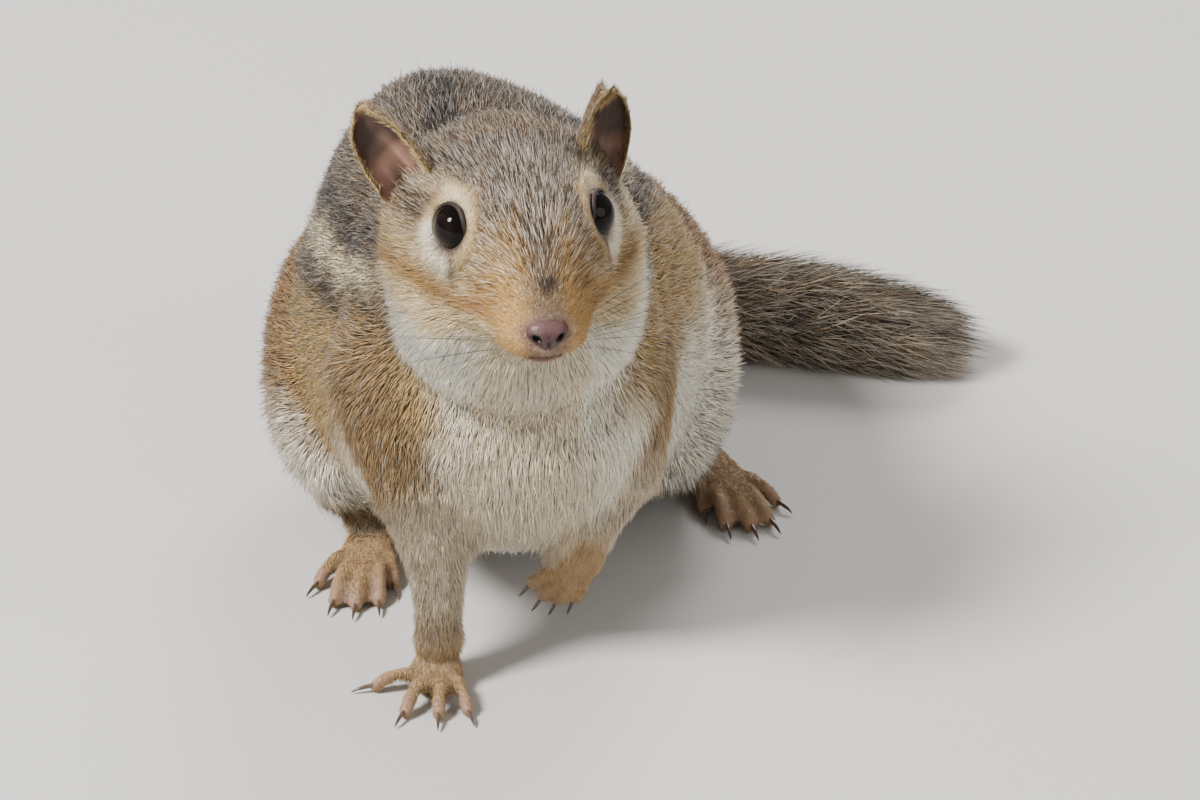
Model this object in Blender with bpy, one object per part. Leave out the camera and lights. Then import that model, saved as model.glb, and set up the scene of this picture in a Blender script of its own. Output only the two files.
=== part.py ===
"""An eastern chipmunk, life size, as a still display model: one forepaw planted, the other lifted,
head turned a little to its left and the tail laid out on the floor behind it.

Metres, +Z up. The animal looks along -Y, its own right side is at -X, and the floor is at Z = 0.
The solids hold the outline of the coat. Each named part of the body is one closed solid.
"""

import math
import random
from collections import namedtuple

import bmesh
import bpy
from mathutils import Euler, Matrix, Vector

MM = 0.001
GAP = 0.3 * MM  # left between solids that touch
ROUND_END = 0.7  # how far a limb or toe reaches past its last ring, in radii

# How a union is melted: the voxel in mm, the rounds of smoothing and the share of triangles kept
TRUNK_MELT = (1.1, 14, 0.0475)
HEAD_MELT = (0.8, 12, 0.055)

# How far the cells that part the limbs from the trunk reach past each limb's radius
ARM_GROW = 1.4
THIGH_GROW = 1.6
SHANK_GROW = 0.4
CELL_SIDES = 14

# Torso, in mm: one row is the centre of a ring, then its half width, its height above and below
# the centre, and how much narrower its back is than its belly.
Ring = namedtuple("Ring", "x y z side top bottom pear")
TORSO = [
    Ring(3.4, 8.8, 43.5, 7, 8, 10, 0.0),
    Ring(3.2, 12.8, 43, 14, 16, 17.5, 0.0),
    Ring(2.4, 21, 41.5, 20, 23, 24, 0.05),
    Ring(1.0, 34, 39, 24, 28.5, 29, 0.12),
    Ring(0.2, 49, 36.5, 27.5, 31.0, 31, 0.18),
    Ring(-0.4, 64, 33, 29.5, 32, 29, 0.2),
    Ring(-0.8, 77, 28.5, 28.5, 29, 24.5, 0.18),
    Ring(-1.2, 89, 24.5, 22.5, 20.5, 18.5, 0.12),
    Ring(-1.6, 97.5, 21.5, 13.5, 12.5, 12.5, 0.05),
    Ring(-1.8, 101.5, 20.0, 6.5, 6, 6, 0.0),
]
TORSO_LEAN = 0.26  # how far the back leans towards the animal's right, as a share of its height

NECK = [
    Ring(4.4, 4.5, 58.5, 8.0, 5, 6, 0.0),
    Ring(4.0, 9, 57, 13.5, 10, 12, 0.0),
    Ring(3.2, 15, 56, 17, 16.5, 17, 0.0),
    Ring(1.6, 24, 54.5, 19.5, 20.5, 20, 0.0),
    Ring(0.0, 34, 50, 21, 22.0, 21, 0.0),
    Ring(-1.6, 46, 44, 21, 22.5, 20, 0.0),
    Ring(-2.4, 56, 40, 20, 21.5, 18, 0.0),
]

# The full cheeks and throat, as an ellipsoid: its centre and its half axes
THROAT_FILL = ((2.0, 13.5, 55.0), (17.6, 13.0, 13.5))

# The cheek between the muzzle and the throat, in the head's frame: its centre and half axes
CHEEK = ((9.0, 3.0, -9.5), (8.0, 9.5, 8.0))

# The head has a frame of its own: its origin lies between the eyes, -Y runs to the nose.
HEAD_ORIGIN = Vector((3.3, 8.0, 67.2)) * MM
HEAD_YAW = math.radians(12)  # turned to the animal's left
HEAD_PITCH = math.radians(-6)  # nose lowered a little
HEAD = [
    Ring(0, -15.7, -4.0, 1.7, 1.4, 1.7, 0.0),
    Ring(0, -15.2, -4.0, 3.6, 3.0, 3.6, 0.0),
    Ring(0, -13.9, -3.9, 5.4, 5.0, 5.9, 0.02),
    Ring(0, -11.7, -3.4, 7.4, 7.2, 8.3, 0.06),
    Ring(0, -8.7, -2.6, 9.4, 9.6, 10.5, 0.12),
    Ring(0, -5.2, -1.8, 11.4, 11.8, 12.6, 0.18),
    Ring(0, -1.4, -1.2, 13.4, 13.4, 14.5, 0.22),
    Ring(0, 4.0, -1.2, 15.8, 14.2, 16.2, 0.22),
    Ring(0, 10.0, -1.6, 17.2, 14.0, 17.4, 0.2),
    Ring(0, 16.0, -2.6, 17.2, 13.2, 17.4, 0.15),
    Ring(0, 22.0, -4.6, 15.6, 12.0, 16.0, 0.08),
    Ring(0, 27.0, -6.6, 11.0, 9.0, 11.0, 0.0),
    Ring(0, 29.5, -7.6, 4.5, 4.0, 4.5, 0.0),
]

EYE_RADIUS = 3.9
EYE_CENTRE = (8.7, 1.2, 3.8)  # of the animal's left eye, in the head's frame
EYE_TURN = math.radians(65)  # from straight ahead, outwards
EYE_LIFT = math.radians(10)
LID_RADIUS = 3.7  # the lids' ring, from the eye's axis
LID_THICK = 0.9

# Each ear: the middle of its root, its tip and the way its hollow looks
Ear = namedtuple("Ear", "root tip look")
EARS = {
    1: Ear((11.8, 15.8, 5.4), (14.8, 16.6, 13.0), (0.50, -0.86, 0.0)),
    -1: Ear((-12.6, 15.0, 5.2), (-18.9, 15.6, 13.6), (-0.50, -0.86, 0.0)),
}
EAR_WIDTH = 8.8
EAR_THICK = 0.9
SHORT_EDGE = 0.04

NOSE_TIP = (0, -15.3, -3.6)
MOUTH_HEIGHT = -7.9  # in the head's frame
MOUTH_FRONT = -16.6
MOUTH_HALF = 5.4
MOUTH_OPEN = 0.48

# Raised and sunk places of the head, as centre, radius and height; the first list is for both sides
PAIRED_FEATURES = [
    ((14.5, 6, -7), 10, 1.3),  # cheek
    ((4.8, -13.4, -6.2), 4.6, 1.2),  # whisker pad
    ((8.6, -5.0, 2.0), 5.0, -0.7),  # hollow before the eye
    ((12.0, 0.0, 3.0), 7.8, -1.7),  # the eye's hollow
    ((12.6, 0.4, -1.0), 4.6, -0.8),  # under the eye
    ((9.8, 1.5, 10.2), 5.5, 0.7),  # brow
    ((12.5, 14.5, 7.0), 5.5, 0.9),  # root of the ear
]
MIDDLE_FEATURES = [
    ((0, -11.0, -10.6), 3.8, 1.0),  # chin
    ((0, -10.0, 5.0), 6.0, 0.4),  # bridge of the nose
]

# Each limb: the points of its middle line and its radius there
FORELEG_RIGHT = ([(-13.5, 28, 42), (-12.0, 21.5, 34), (-10.8, 17, 26.5), (-9.0, 14.5, 18),
                  (-8.6, 12.8, 9.5), (-8.6, 12.0, 4.5)],
                 [12.0, 10.0, 7.4, 5.2, 4.0, 3.6])
FORELEG_LEFT = ([(12.5, 29, 41), (14.6, 26.5, 33), (16.0, 24.8, 27.5), (14.4, 22.6, 23),
                 (12.6, 21.0, 19.6), (11.4, 20.2, 17.6)],
                [11.0, 9.2, 7.2, 5.3, 4.3, 3.8])
THIGH_RIGHT = ([(-12.5, 86, 30), (-17.6, 74, 25), (-21.2, 61, 18.5), (-21.5, 51, 14)],
               [14.0, 15.8, 13.2, 9.0])
THIGH_LEFT = ([(11.0, 88, 30), (16.6, 75, 25), (20.4, 63, 19.0), (22.0, 54, 15)],
              [14.0, 15.8, 13.0, 8.6])
SHANK_RIGHT = ([(-20.5, 52, 11), (-19.6, 59, 8.5), (-18.8, 65.0, 6.0)], [7.5, 5.4, 4.0])
SHANK_LEFT = ([(22.0, 58, 11.5), (22.8, 72, 8.5), (23.6, 83.0, 6.0)], [7.5, 5.6, 4.0])

# A foot's table: in the foot's frame the ball is the origin, -Y runs to the toes and X outwards.
# Each toe has its root, its tip, its radius and its arch above a straight line.
Toe = namedtuple("Toe", "root tip radius arch")
TOE_TAPER = (1.05, 1.03, 0.94, 0.92, 0.84)
TOE_BEND = (0, 0.9, 1.0, 0.55, 0)  # how the arch is shared out along a toe
HIND_TOES = [
    Toe((-3.0, 4.0, 2.2), (-5.0, -2.6, 1.0), 1.15, 0.9),
    Toe((-2.3, 0.2, 2.5), (-3.9, -8.0, 1.05), 1.25, 1.3),
    Toe((-0.5, -0.8, 2.6), (-0.9, -9.6, 1.05), 1.3, 1.4),
    Toe((1.3, -0.4, 2.5), (2.2, -9.0, 1.05), 1.25, 1.3),
    Toe((2.9, 3.2, 2.2), (5.4, -4.0, 1.0), 1.15, 1.0),
]
HIND_SOLE = [
    Ring(0, 22.5, 3.4, 1.6, 1.4, 1.6, 0.0),
    Ring(0, 21.3, 3.4, 2.9, 2.8, 3.0, 0.0),
    Ring(0, 18.0, 3.0, 3.2, 3.2, 2.9, 0.0),
    Ring(0, 10.0, 2.4, 3.3, 2.6, 2.4, 0.0),
    Ring(0, 3.5, 2.1, 4.1, 2.3, 2.2, 0.0),
    Ring(0, -0.4, 2.0, 3.9, 2.0, 2.0, 0.0),
    Ring(0, -2.0, 1.9, 2.4, 1.3, 1.4, 0.0),
]
FORE_TOES = [
    Toe((-2.5, -0.6, 2.3), (-5.0, -7.6, 0.95), 1.05, 1.2),
    Toe((-0.7, -2.2, 2.5), (-1.1, -9.0, 1.0), 1.15, 1.3),
    Toe((1.2, -2.0, 2.5), (3.5, -8.6, 1.0), 1.15, 1.3),
    Toe((2.6, 0.2, 2.2), (8.2, -1.4, 0.95), 1.05, 1.1),
]
FORE_PALM = [
    Ring(0, 4.6, 3.4, 1.9, 1.8, 2.0, 0.0),
    Ring(0, 3.4, 3.2, 3.3, 3.4, 2.8, 0.0),
    Ring(0, 0.6, 2.6, 3.9, 3.0, 2.6, 0.0),
    Ring(0, -2.0, 2.2, 3.5, 2.2, 2.1, 0.0),
    Ring(0, -3.6, 2.1, 2.2, 1.3, 1.5, 0.0),
]
DROOPING_TOES = [
    Toe((-2.5, -2.6, 2.2), (-3.3, -8.2, -0.6), 1.05, 0.9),
    Toe((-0.8, -3.2, 2.4), (-1.0, -9.6, -0.8), 1.15, 1.0),
    Toe((1.0, -3.2, 2.4), (1.2, -9.2, -0.8), 1.15, 1.0),
    Toe((2.5, -2.4, 2.2), (3.1, -7.8, -0.6), 1.05, 0.9),
]
CLAW_LENGTH = 2.4
CLAW_THICK = 0.85
SOLE_SINK = 0.15  # how far a planted foot is cut by the floor, which gives it its flats

# Where each paw stands or hangs: its ball, then its turns about Z, X and Y in degrees
PawPlace = namedtuple("PawPlace", "ball yaw droop roll mirror")
HIND_RIGHT = PawPlace((-19.8, 41.5, -SOLE_SINK), -9, 0, 0, True)
HIND_LEFT = PawPlace((31.6, 64.5, -SOLE_SINK), 22, 0, 0, False)
FORE_RIGHT = PawPlace((-9.0, 9.5, -SOLE_SINK), -4, 0, 0, True)
FORE_LEFT = PawPlace((10.2, 22.8, 14.6), 0, 96, 25, False)

# The plane that parts the head from the neck, in the head's frame; it slants forward to the throat
THROAT = (0, 21.0, 6)
THROAT_NORMAL = Vector((0, -0.82, 0.57))
MELT_MARGIN = 4  # how far past that plane the head is melted with the trunk before the cut

# The planes that part the trunk, from the neck to the rump
NECK_CUT = ((2, 22, 54), (0, -0.65, 0.76))
CHEST_CUT = ((0, 45, 30), (0, 1, 0.18))
BELLY_CUT = ((0, 74, 30), (0, 1, 0.1))

# The plane across the tail at its bend
TAIL_CUT = ((7.5, 111.6, 8.6), (0.86, 0.42, -0.28))

# Where each limb is parted, as a point on its line and the way down the limb
ELBOW_RIGHT = ((-10.8, 17.0, 26.5), (0.1, -0.35, -0.93))
ELBOW_LEFT = ((15.6, 24.2, 26.5), (-0.25, -0.35, -0.9))
WRIST_RIGHT = ((-8.6, 12.4, 7.2), (0, -0.1, -1))
WRIST_LEFT = ((12.1, 20.7, 18.9), (-0.49, -0.33, -0.81))

# The tail: where its bone runs, the half width of its core, and how far its hair stands out there
TailPoint = namedtuple("TailPoint", "x y z core reach")
TAIL = [
    TailPoint(-2.2, 94.5, 24.5, 2.6, 5.0),
    TailPoint(-2.2, 99.0, 21.0, 4.0, 5.4),
    TailPoint(-0.6, 104.5, 15.6, 4.1, 6.0),
    TailPoint(4.5, 110.0, 10.0, 4.2, 7.0),
    TailPoint(13.0, 113.6, 6.8, 4.4, 8.0),
    TailPoint(25.0, 115.0, 5.6, 4.6, 8.8),
    TailPoint(38.0, 113.6, 5.2, 4.6, 9.2),
    TailPoint(49.0, 110.6, 5.0, 4.0, 8.8),
    TailPoint(56.0, 108.2, 4.8, 2.4, 7.6),
]
TAIL_FOOT = 5.4  # how far the core reaches down, flattened where it lies on the floor
LOCK_ROWS = 7
FIRST_ROW, LAST_ROW = 0.18, 0.94  # where the locks start, as shares of the tail's length
LOCK_LENGTH = 21
END_LENGTH = 15  # of the locks of the end tuft
LOCK_WIDTH = 7.0
LOCK_THICK = 1.3
LOCK_ANGLES = ((-104, -36, 32, 100), (-134, -68, 0, 68, 134))
END_ANGLES = (-140, -70, 0, 70, 140)
LOCK_SEED = 11
LEAST_LIFT = 0.5  # of a lock above the floor

COLOURS = {
    "head": (0.36, 0.25, 0.13),
    "neck": (0.40, 0.28, 0.15),
    "chest": (0.62, 0.52, 0.38),
    "belly": (0.55, 0.44, 0.30),
    "rump": (0.38, 0.22, 0.09),
    "limb": (0.45, 0.30, 0.14),
    "paw": (0.55, 0.34, 0.18),
    "tail": (0.26, 0.19, 0.12),
    "ear": (0.42, 0.26, 0.16),
    "eye": (0.012, 0.009, 0.008),
    "nose": (0.50, 0.27, 0.24),
    "claw": (0.10, 0.07, 0.05),
}
ROUGHNESS = {"eye": 0.06, "claw": 0.35, "nose": 0.45}


def clear_scene():
    for obj in list(bpy.data.objects):
        bpy.data.objects.remove(obj, do_unlink=True)


def material(kind):
    made = bpy.data.materials.get(kind)
    if made:
        return made
    made = bpy.data.materials.new(kind)
    made.use_nodes = True
    shader = made.node_tree.nodes["Principled BSDF"]
    shader.inputs["Base Color"].default_value = (*COLOURS[kind], 1)
    shader.inputs["Roughness"].default_value = ROUGHNESS.get(kind, 0.85)
    shader.inputs["Metallic"].default_value = 0
    return made


def object_from(name, mesh_builder, kind=None):
    """A new object from a bmesh, which is freed."""
    bmesh.ops.recalc_face_normals(mesh_builder, faces=mesh_builder.faces[:])
    mesh = bpy.data.meshes.new(name)
    mesh_builder.to_mesh(mesh)
    mesh_builder.free()
    obj = bpy.data.objects.new(name, mesh)
    bpy.context.scene.collection.objects.link(obj)
    if kind:
        dress(obj, kind)
    return obj


def dress(obj, kind):
    obj.data.materials.clear()
    obj.data.materials.append(material(kind))
    obj.data.polygons.foreach_set("material_index", [0] * len(obj.data.polygons))
    obj.data.shade_smooth()
    obj.data.set_sharp_from_angle(angle=math.radians(45))


def apply_modifiers(obj):
    """Writes the object's evaluated mesh back and drops its modifiers."""
    graph = bpy.context.evaluated_depsgraph_get()
    graph.update()
    mesh = bpy.data.meshes.new_from_object(obj.evaluated_get(graph))
    obj.modifiers.clear()
    old = obj.data
    obj.data = mesh
    bpy.data.meshes.remove(old)
    return obj


def boolean(obj, other, operation, solver="EXACT"):
    """Cuts or joins obj by other, which stays."""
    modifier = obj.modifiers.new(operation, "BOOLEAN")
    modifier.operation = operation
    modifier.object = other
    modifier.solver = solver
    return apply_modifiers(obj)


def join_all(name, objects):
    """One closed body from several overlapping ones, by a single union on their collection."""
    base, others = objects[0], objects[1:]
    group = bpy.data.collections.new("pieces_of_" + name)
    bpy.context.scene.collection.children.link(group)
    for obj in others:
        bpy.context.scene.collection.objects.unlink(obj)
        group.objects.link(obj)
    modifier = base.modifiers.new("union", "BOOLEAN")
    modifier.operation = "UNION"
    modifier.operand_type = "COLLECTION"
    modifier.collection = group
    modifier.solver = "MANIFOLD"
    apply_modifiers(base)
    for obj in others:
        bpy.data.objects.remove(obj, do_unlink=True)
    bpy.data.collections.remove(group)
    base.name = name
    keep_largest(base)
    return base


def keep_largest(obj):
    """Leaves only the largest closed surface of the mesh."""
    work = bmesh.new()
    work.from_mesh(obj.data)
    work.verts.ensure_lookup_table()
    seen = set()
    shells = []
    for start in work.verts:
        if start.index in seen:
            continue
        seen.add(start.index)
        stack, shell = [start], [start]
        while stack:
            for edge in stack.pop().link_edges:
                for vert in edge.verts:
                    if vert.index not in seen:
                        seen.add(vert.index)
                        stack.append(vert)
                        shell.append(vert)
        shells.append(shell)
    shells.sort(key=box_volume, reverse=True)
    for shell in shells[1:]:
        bmesh.ops.delete(work, geom=shell, context="VERTS")
    work.to_mesh(obj.data)
    work.free()
    return obj


def box_volume(verts):
    low = Vector(map(min, *(v.co for v in verts))) if len(verts) > 1 else verts[0].co
    high = Vector(map(max, *(v.co for v in verts))) if len(verts) > 1 else verts[0].co
    size = high - low
    return size.x * size.y * size.z


def duplicate(obj, name):
    copy = bpy.data.objects.new(name, obj.data.copy())
    copy.matrix_world = obj.matrix_world.copy()
    bpy.context.scene.collection.objects.link(copy)
    return copy


def remove(*objects):
    for obj in objects:
        bpy.data.objects.remove(obj, do_unlink=True)


def catmull(a, b, c, d, t):
    """A point on the smooth curve from b to c."""
    return 0.5 * (2 * b + (c - a) * t + (2 * a - 5 * b + 4 * c - d) * t * t
                  + (3 * b - a - 3 * c + d) * t ** 3)


def smooth_rows(rows, per_span):
    """Rows of numbers filled in along a smooth curve through them."""
    rows = [tuple(map(float, row)) for row in rows]
    out = []
    last = len(rows) - 1
    for i in range(last):
        before, after = rows[max(i - 1, 0)], rows[min(i + 2, last)]
        for step in range(per_span):
            t = step / per_span
            out.append(tuple(catmull(a, b, c, d, t)
                             for a, b, c, d in zip(before, rows[i], rows[i + 1], after)))
    out.append(rows[last])
    return out


def loft(name, rings, sides, per_span, lateral=Vector((1, 0, 0)), lean=0.0):
    """A closed body through rings that stand square to their own smooth centre line."""
    rows = smooth_rows(rings, per_span)
    centres = [Vector(row[:3]) * MM for row in rows]
    work = bmesh.new()
    loops = []
    for i, row in enumerate(rows):
        side, top, bottom, pear = (max(value, 0.02) if k < 3 else value
                                   for k, value in enumerate(row[3:7]))
        along = (centres[min(i + 1, len(rows) - 1)] - centres[max(i - 1, 0)]).normalized()
        across = (lateral - lateral.project(along)).normalized()
        up = across.cross(along)
        loop = []
        for k in range(sides):
            angle = 2 * math.pi * k / sides
            rise = math.sin(angle)
            height = rise * (top if rise > 0 else bottom)
            width = math.cos(angle) * side * (1 - pear * rise)
            width -= lean * top * max(rise, 0) ** 2
            loop.append(work.verts.new(centres[i] + (across * width + up * height) * MM))
        loops.append(loop)
    for a, b in zip(loops, loops[1:]):
        for k in range(sides):
            work.faces.new((a[k], a[(k + 1) % sides], b[(k + 1) % sides], b[k]))
    for loop in (loops[0], loops[-1]):
        middle = work.verts.new(sum((v.co for v in loop), Vector()) / sides)
        for k in range(sides):
            work.faces.new((loop[k], loop[(k + 1) % sides], middle))
    return object_from(name, work)


def tube(name, points, radii, sides=10, per_span=4, flat=1.0, lateral=Vector((1, 0, 0))):
    """A limb or a toe: round rings along a smooth line, with a rounded end at each side."""
    rows = smooth_rows([(*point, radius) for point, radius in zip(points, radii)], per_span)
    first, second = Vector(rows[0][:3]), Vector(rows[1][:3])
    last, before = Vector(rows[-1][:3]), Vector(rows[-2][:3])
    start = first + (first - second).normalized() * radii[0] * ROUND_END
    end = last + (last - before).normalized() * radii[-1] * ROUND_END
    rows = [(*start, radii[0] * 0.55)] + rows + [(*end, radii[-1] * 0.55)]
    rings = [(*row[:3], row[3], row[3] * flat, row[3] * flat, 0.0) for row in rows]
    return loft(name, rings, sides, 1, lateral)


def ellipsoid(name, centre, radii, turn=(0, 0, 0), segments=24, rings=14):
    work = bmesh.new()
    bmesh.ops.create_uvsphere(work, u_segments=segments, v_segments=rings, radius=1)
    frame = (Matrix.Translation(Vector(centre) * MM) @ Euler(turn).to_matrix().to_4x4()
             @ Matrix.Diagonal((*[r * MM for r in radii], 1)))
    bmesh.ops.transform(work, matrix=frame, verts=work.verts)
    return object_from(name, work)


def box(name, low, high):
    work = bmesh.new()
    bmesh.ops.create_cube(work, size=1)
    low, high = Vector(low) * MM, Vector(high) * MM
    for vert in work.verts:
        vert.co = Vector(((low[i] + high[i]) / 2 + vert.co[i] * (high[i] - low[i])
                          for i in range(3)))
    return object_from(name, work)


def head_frame():
    """From the head's own frame to the plan."""
    return (Matrix.Translation(HEAD_ORIGIN) @ Matrix.Rotation(HEAD_YAW, 4, "Z")
            @ Matrix.Rotation(-HEAD_PITCH, 4, "X"))


def place(obj, frame):
    obj.data.transform(frame)
    return obj


def sculpt(obj, features):
    """Raises or sinks the surface round each point, fading out smoothly at the radius."""
    mesh = obj.data
    normals = [vert.normal.copy() for vert in mesh.vertices]
    for vert, normal in zip(mesh.vertices, normals):
        move = 0.0
        for centre, radius, amount in features:
            away = (vert.co - Vector(centre) * MM).length / (radius * MM)
            if away < 1:
                move += amount * MM * (1 - away * away) ** 2
        vert.co += normal * move
    return obj


def both_sides(features):
    """Each feature and its mirror image."""
    return features + [((-c[0], c[1], c[2]), radius, amount) for c, radius, amount in features]


def limb(name, table, grow=0.0, sides=18, per_span=4):
    points, radii = table
    return tube(name, points, [r + grow for r in radii], sides=sides, per_span=per_span,
                lateral=Vector((1, 0.01, 0)))


def melt(obj, voxel, rounds, share):
    """Melts a union into one smooth surface and thins its triangles to the given share."""
    remesh = obj.modifiers.new("fuse", "REMESH")
    remesh.mode = "VOXEL"
    remesh.voxel_size = voxel * MM
    blend = obj.modifiers.new("blend", "SMOOTH")
    blend.factor = 0.5
    blend.iterations = rounds
    thin = obj.modifiers.new("thin", "DECIMATE")
    thin.ratio = share
    apply_modifiers(obj)
    return keep_largest(obj)


def fused_trunk():
    """Torso, neck, the head's plain form and the limbs as one smooth body."""
    core = [ring._replace(side=ring.side * 0.95, top=ring.top * 0.95, bottom=ring.bottom * 0.95)
            for ring in HEAD]
    pieces = [
        loft("torso", TORSO, 40, 4, lean=TORSO_LEAN),
        loft("neck", NECK, 32, 4),
        place(loft("skull", core, 32, 2), head_frame()),
        ellipsoid("throat_fill", *THROAT_FILL, segments=28, rings=18),
    ]
    for number, table in enumerate((FORELEG_RIGHT, FORELEG_LEFT, THIGH_RIGHT, THIGH_LEFT,
                                    SHANK_RIGHT, SHANK_LEFT)):
        pieces.append(limb(f"limb_{number}", table))
    return melt(join_all("trunk", pieces), *TRUNK_MELT)


def foot_frame(paw):
    """From a foot's frame to the plan: where its ball is and which way its toes point."""
    frame = (Matrix.Translation(Vector(paw.ball) * MM)
             @ Matrix.Rotation(math.radians(paw.yaw), 4, "Z")
             @ Matrix.Rotation(math.radians(paw.roll), 4, "Y")
             @ Matrix.Rotation(math.radians(paw.droop), 4, "X"))
    if paw.mirror:
        frame = frame @ Matrix.Diagonal((-1, 1, 1, 1))
    return frame


def toe_line(toe):
    """The middle line of a toe, from its root over the knuckles to its tip."""
    root, tip = Vector(toe.root), Vector(toe.tip)
    line = [root + (tip - root) * share for share in (0, 0.3, 0.58, 0.84, 1.0)]
    for point, rise in zip(line, TOE_BEND):
        point.z += toe.arch * rise
    return [tuple(point) for point in line]


def foot(name, sole, toes, frame, stub=None, planted=True):
    """A paw with its toes and the end of the limb, flat underneath where it stands."""
    body = loft(name, sole, 12, 1)
    pieces = [body]
    for number, toe in enumerate(toes):
        radius = toe.radius
        radii = [radius * share for share in TOE_TAPER]
        pieces.append(tube(f"{name}_toe_{number}", toe_line(toe), radii, sides=7, per_span=1))
    made = join_all(name, pieces)
    place(made, frame)
    if frame.determinant() < 0:
        made.data.flip_normals()
    if stub:
        made = join_all(name, [made, stub])
    if planted:
        cut_by_floor(made)
    return made


def claws(name, toes, frame):
    """One curved claw before each toe, bent down to its point."""
    made = []
    for number, toe in enumerate(toes, 1):
        line = toe_line(toe)
        tip = Vector(line[-1])
        out = tip - Vector(line[-2])
        out.z = 0
        out.normalize()
        start = tip + out * (toe.radius * TOE_TAPER[-1] * ROUND_END + GAP / MM)
        start.z += 0.1
        down = Vector((0, 0, -1))
        points = [start, start + out * CLAW_LENGTH * 0.45 + down * 0.05,
                  start + out * CLAW_LENGTH * 0.8 + down * 0.25,
                  start + out * CLAW_LENGTH + down * 0.6]
        half = CLAW_THICK / 2
        rings = [(*p, half * w * 0.8, half * w, half * w, 0.0)
                 for p, w in zip(points, (0.95, 1.0, 0.6, 0.16))]
        claw = loft(f"{name}_{number}", rings, 5, 1)
        place(claw, frame)
        dress(claw, "claw")
        if frame.determinant() < 0:
            claw.data.flip_normals()
        made.append(claw)
    return made


def cut_by_floor(obj):
    """Leaves what stands above the floor."""
    ground = box("ground", (-200, -200, -50), (200, 200, 0))
    boolean(obj, ground, "DIFFERENCE")
    remove(ground)
    return keep_largest(obj)


def half_space(point, normal):
    """A large block that fills the side of a plane to which the normal points."""
    block = box("block", (-300, -300, 0), (300, 300, 600))
    turn = Vector((0, 0, 1)).rotation_difference(Vector(normal).normalized()).to_matrix().to_4x4()
    place(block, Matrix.Translation(point) @ turn)
    return block


def cut_to(obj, point, normal, solver="EXACT"):
    """Keeps what lies beyond half a gap on the side of the plane to which the normal points."""
    normal = Vector(normal).normalized()
    block = half_space(Vector(point) * MM + normal * GAP / 2, normal)
    boolean(obj, block, "INTERSECT", solver)
    remove(block)
    return keep_largest(obj)


def part_at(obj, point, normal, name_behind, name_beyond, solver="EXACT"):
    """Parts a body at a plane and leaves the gap between its two pieces."""
    behind = obj
    beyond = duplicate(obj, name_beyond)
    cut_to(beyond, point, normal, solver)
    cut_to(behind, point, -Vector(normal), solver)
    behind.name = name_behind
    return behind, beyond


def take_limb(body, table, name, grow, per_span):
    """Cuts the stretch of the body that lies round a limb's line out of it, with a gap about it."""
    cell = limb(name + "_cell", table, grow, CELL_SIDES, per_span)
    wide = limb(name + "_wide", table, grow + GAP / MM, CELL_SIDES, per_span)
    piece = duplicate(body, name)
    boolean(piece, cell, "INTERSECT")
    boolean(body, wide, "DIFFERENCE")
    remove(cell, wide)
    keep_largest(body)
    return keep_largest(piece)


def clear_of_sole(body, rings, frame):
    """Cuts the body clear of a foot that lies under it."""
    gap = GAP / MM
    grown = [ring._replace(side=ring.side + gap, top=ring.top + gap, bottom=ring.bottom + gap)
             for ring in rings]
    grown[0] = grown[0]._replace(y=grown[0].y + gap)
    grown[-1] = grown[-1]._replace(y=grown[-1].y - gap)
    cutter = place(loft("clearance", grown, 12, 1), frame)
    if frame.determinant() < 0:
        cutter.data.flip_normals()
    boolean(body, cutter, "DIFFERENCE")
    remove(cutter)
    return keep_largest(body)


def eye_axis(side):
    """The way an eye looks, in the head's frame; side is 1 for the left eye and -1 for the right."""
    flat = math.cos(EYE_LIFT)
    return Vector((side * math.sin(EYE_TURN) * flat, -math.cos(EYE_TURN) * flat,
                   math.sin(EYE_LIFT)))


def eye_centre(side):
    return Vector((EYE_CENTRE[0] * side, EYE_CENTRE[1], EYE_CENTRE[2]))


def lids(side):
    """The ring of the lids: two rims that meet in a corner before and behind the eye."""
    axis = eye_axis(side)
    across = Vector((0, 0, 1)).cross(axis).normalized()
    up = axis.cross(across)
    work = bmesh.new()
    around, turns = 6, 22
    loops = []
    for k in range(turns):
        angle = 2 * math.pi * k / turns
        corner = abs(math.cos(angle)) ** 5
        reach = LID_RADIUS * (1 + 0.22 * corner) * (1 - 0.05 * abs(math.sin(angle)))
        out = across * math.cos(angle) + up * math.sin(angle)
        rise = math.sqrt(max(EYE_RADIUS ** 2 - LID_RADIUS ** 2, 0)) + 0.5 - 0.8 * corner
        centre = eye_centre(side) + axis * rise + out * reach
        thick = LID_THICK * (1 - 0.3 * corner)
        loops.append([work.verts.new(
            (centre + (out * math.cos(a) + axis * math.sin(a) * 0.8) * thick) * MM)
            for a in (2 * math.pi * j / around for j in range(around))])
    for k in range(turns):
        a, b = loops[k], loops[(k + 1) % turns]
        for j in range(around):
            work.faces.new((a[j], a[(j + 1) % around], b[(j + 1) % around], b[j]))
    return object_from("lids", work)


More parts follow.
